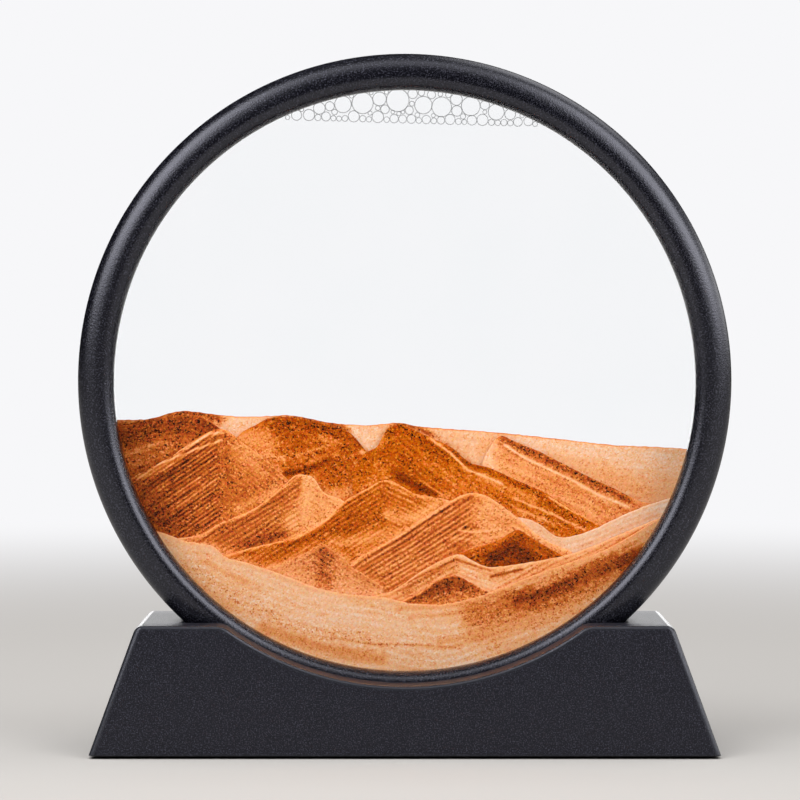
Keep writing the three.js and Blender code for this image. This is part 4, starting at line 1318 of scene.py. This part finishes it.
class SANDFRAME_OT_stage(bpy.types.Operator):
    """Makes the floor, the lights and the camera"""

    bl_idname = "sandframe.stage"
    bl_label = "Stage"

    def execute(self, context):
        stage = context.scene.sandframe_stage
        self.floor(stage)
        self.world(context, stage)
        right_place = Vector(stage.softbox_place)
        left_place = right_place * Vector((-1, 1, 1))
        self.softbox("left_softbox", left_place, stage.softbox_size, stage.left_power)
        self.softbox("right_softbox", right_place, stage.softbox_size, stage.right_power)
        self.softbox("top_softbox", stage.top_place, stage.softbox_size, stage.top_power)
        self.camera(context, stage)
        context.scene.view_settings.view_transform = "Standard"
        context.scene.cycles.transparent_max_bounces = CLEAR_LAYERS
        return {"FINISHED"}

    @staticmethod
    def camera(context, stage):
        """The camera in front of the frame, which looks a little down."""
        camera = bpy.data.cameras.new("photo_camera")
        camera.lens = stage.lens
        camera.clip_start = NEAREST_VIEW
        holder = add_object("photo_camera", camera)
        holder.location = stage.camera_place
        holder.rotation_euler = (math.pi / 2 - stage.camera_dip, 0, 0)
        context.scene.camera = holder

    @staticmethod
    def floor(stage):
        """A wide disc that is plain pale floor near the frame and melts into the backdrop further out."""
        profile = np.array([(radius, 0) for radius in FLOOR_RADII])
        points, faces = turned(profile, FLOOR_STEPS, closed=False)
        mesh = bpy.data.meshes.new("floor")
        mesh.from_pydata(points.tolist(), [], faces.tolist())
        mesh.flip_normals()
        material, tree = new_material("pale_floor")
        place = add_node(tree, "ShaderNodeTexCoord").outputs["Object"]
        distance = add_node(tree, "ShaderNodeVectorMath", {0: place}, operation="LENGTH").outputs["Value"]
        start, end = FLOOR_MELT
        far = add_node(tree, "ShaderNodeMapRange", {
            "Value": distance, "From Min": start, "From Max": end}, interpolation_type="SMOOTHSTEP")
        ray = add_node(tree, "ShaderNodeLightPath").outputs["Is Camera Ray"]
        shown = calculate(tree, "MULTIPLY", far.outputs["Result"], ray)
        near = add_node(tree, "ShaderNodeBsdfDiffuse", {"Color": opaque(stage.floor)}).outputs["BSDF"]
        glow = add_node(tree, "ShaderNodeEmission", {"Color": opaque(stage.backdrop)}).outputs["Emission"]
        close_material(tree, mix_shaders(tree, shown, near, glow))
        mesh.materials.append(material)
        floor = add_object("floor", mesh)

    @staticmethod
    def world(context, stage):
        """A plain backdrop to look at, a sky that is bright above for light, and panels to be mirrored."""
        world = bpy.data.worlds.new("studio")
        context.scene.world = world
        world.use_nodes = True
        tree = world.node_tree
        tree.nodes.clear()
        place = add_node(tree, "ShaderNodeTexCoord").outputs["Generated"]
        axes = add_node(tree, "ShaderNodeSeparateXYZ", {"Vector": place})
        ray = add_node(tree, "ShaderNodeLightPath")
        power = add_node(tree, "ShaderNodeMix", {
            MIX_FACTOR: ray.outputs["Is Glossy Ray"],
            NUMBER_A: SANDFRAME_OT_stage.glow(tree, axes, SKY),
            NUMBER_B: SANDFRAME_OT_stage.glow(tree, axes, PANELS)}).outputs[NUMBER_RESULT]
        light = add_node(tree, "ShaderNodeBackground", {"Strength": power})
        plain = add_node(tree, "ShaderNodeBackground", {"Color": opaque(stage.backdrop)})
        mixed = mix_shaders(tree, ray.outputs["Is Camera Ray"],
                            light.outputs["Background"], plain.outputs["Background"])
        add_node(tree, "ShaderNodeOutputWorld", {"Surface": mixed})

    @staticmethod
    def glow(tree, axes, patches):
        """Sum of the patches, each the product of its fades along the axes."""
        total = None
        for patch in patches:
            product = None
            for fade in patch:
                share = add_node(tree, "ShaderNodeMapRange", {
                    "Value": axes.outputs[fade.axis], "From Min": fade.dark, "From Max": fade.bright,
                    "To Max": fade.power}, interpolation_type="SMOOTHSTEP").outputs["Result"]
                product = share if product is None else calculate(tree, "MULTIPLY", product, share)
            total = product if total is None else calculate(tree, "ADD", total, product)
        return total

    @staticmethod
    def softbox(name, place, size, power):
        """A square lamp that faces the middle of the ring and isn't seen or mirrored itself."""
        lamp = bpy.data.lights.new(name, "AREA")
        lamp.size = size
        lamp.energy = power
        holder = add_object(name, lamp)
        holder.location = place
        aim = Vector((0, 0, RING_HEIGHT)) - holder.location
        holder.rotation_euler = aim.to_track_quat("-Z", "Y").to_euler()
        holder.visible_camera = False
        holder.visible_glossy = False


class SANDFRAME_PT_sidebar(bpy.types.Panel):
    """Lists the pieces and their settings"""

    bl_idname = "SANDFRAME_PT_sidebar"
    bl_label = "Sand frame"
    bl_space_type = "VIEW_3D"
    bl_region_type = "UI"
    bl_category = "Sand frame"

    def draw(self, context):
        for operator in OPERATORS:
            self.layout.operator(operator.bl_idname)
        for group, kind in SETTINGS.items():
            box = self.layout.box()
            for name in kind.__annotations__:
                box.prop(getattr(context.scene, group), name)


SETTINGS = {
    "sandframe_ring": RingSettings,
    "sandframe_stand": StandSettings,
    "sandframe_cell": CellSettings,
    "sandframe_sand": SandSettings,
    "sandframe_stage": StageSettings,
}
OPERATORS = (
    SANDFRAME_OT_stage,
    SANDFRAME_OT_stand,
    SANDFRAME_OT_underside,
    SANDFRAME_OT_ring,
    SANDFRAME_OT_cell,
    SANDFRAME_OT_sand,
    SANDFRAME_OT_bubbles,
)


def register():
    for kind in (*SETTINGS.values(), *OPERATORS, SANDFRAME_PT_sidebar):
        bpy.utils.register_class(kind)
    for group, kind in SETTINGS.items():
        setattr(bpy.types.Scene, group, PointerProperty(type=kind))


def unregister():
    for group in SETTINGS:
        delattr(bpy.types.Scene, group)
    for kind in reversed((*SETTINGS.values(), *OPERATORS, SANDFRAME_PT_sidebar)):
        bpy.utils.unregister_class(kind)


def main():
    register()
    bpy.ops.sandframe.stage()
    bpy.ops.sandframe.stand()
    bpy.ops.sandframe.underside()
    bpy.ops.sandframe.ring()
    bpy.ops.sandframe.cell()
    bpy.ops.sandframe.sand()
    bpy.ops.sandframe.bubbles()


if __name__ == "__main__":
    main()
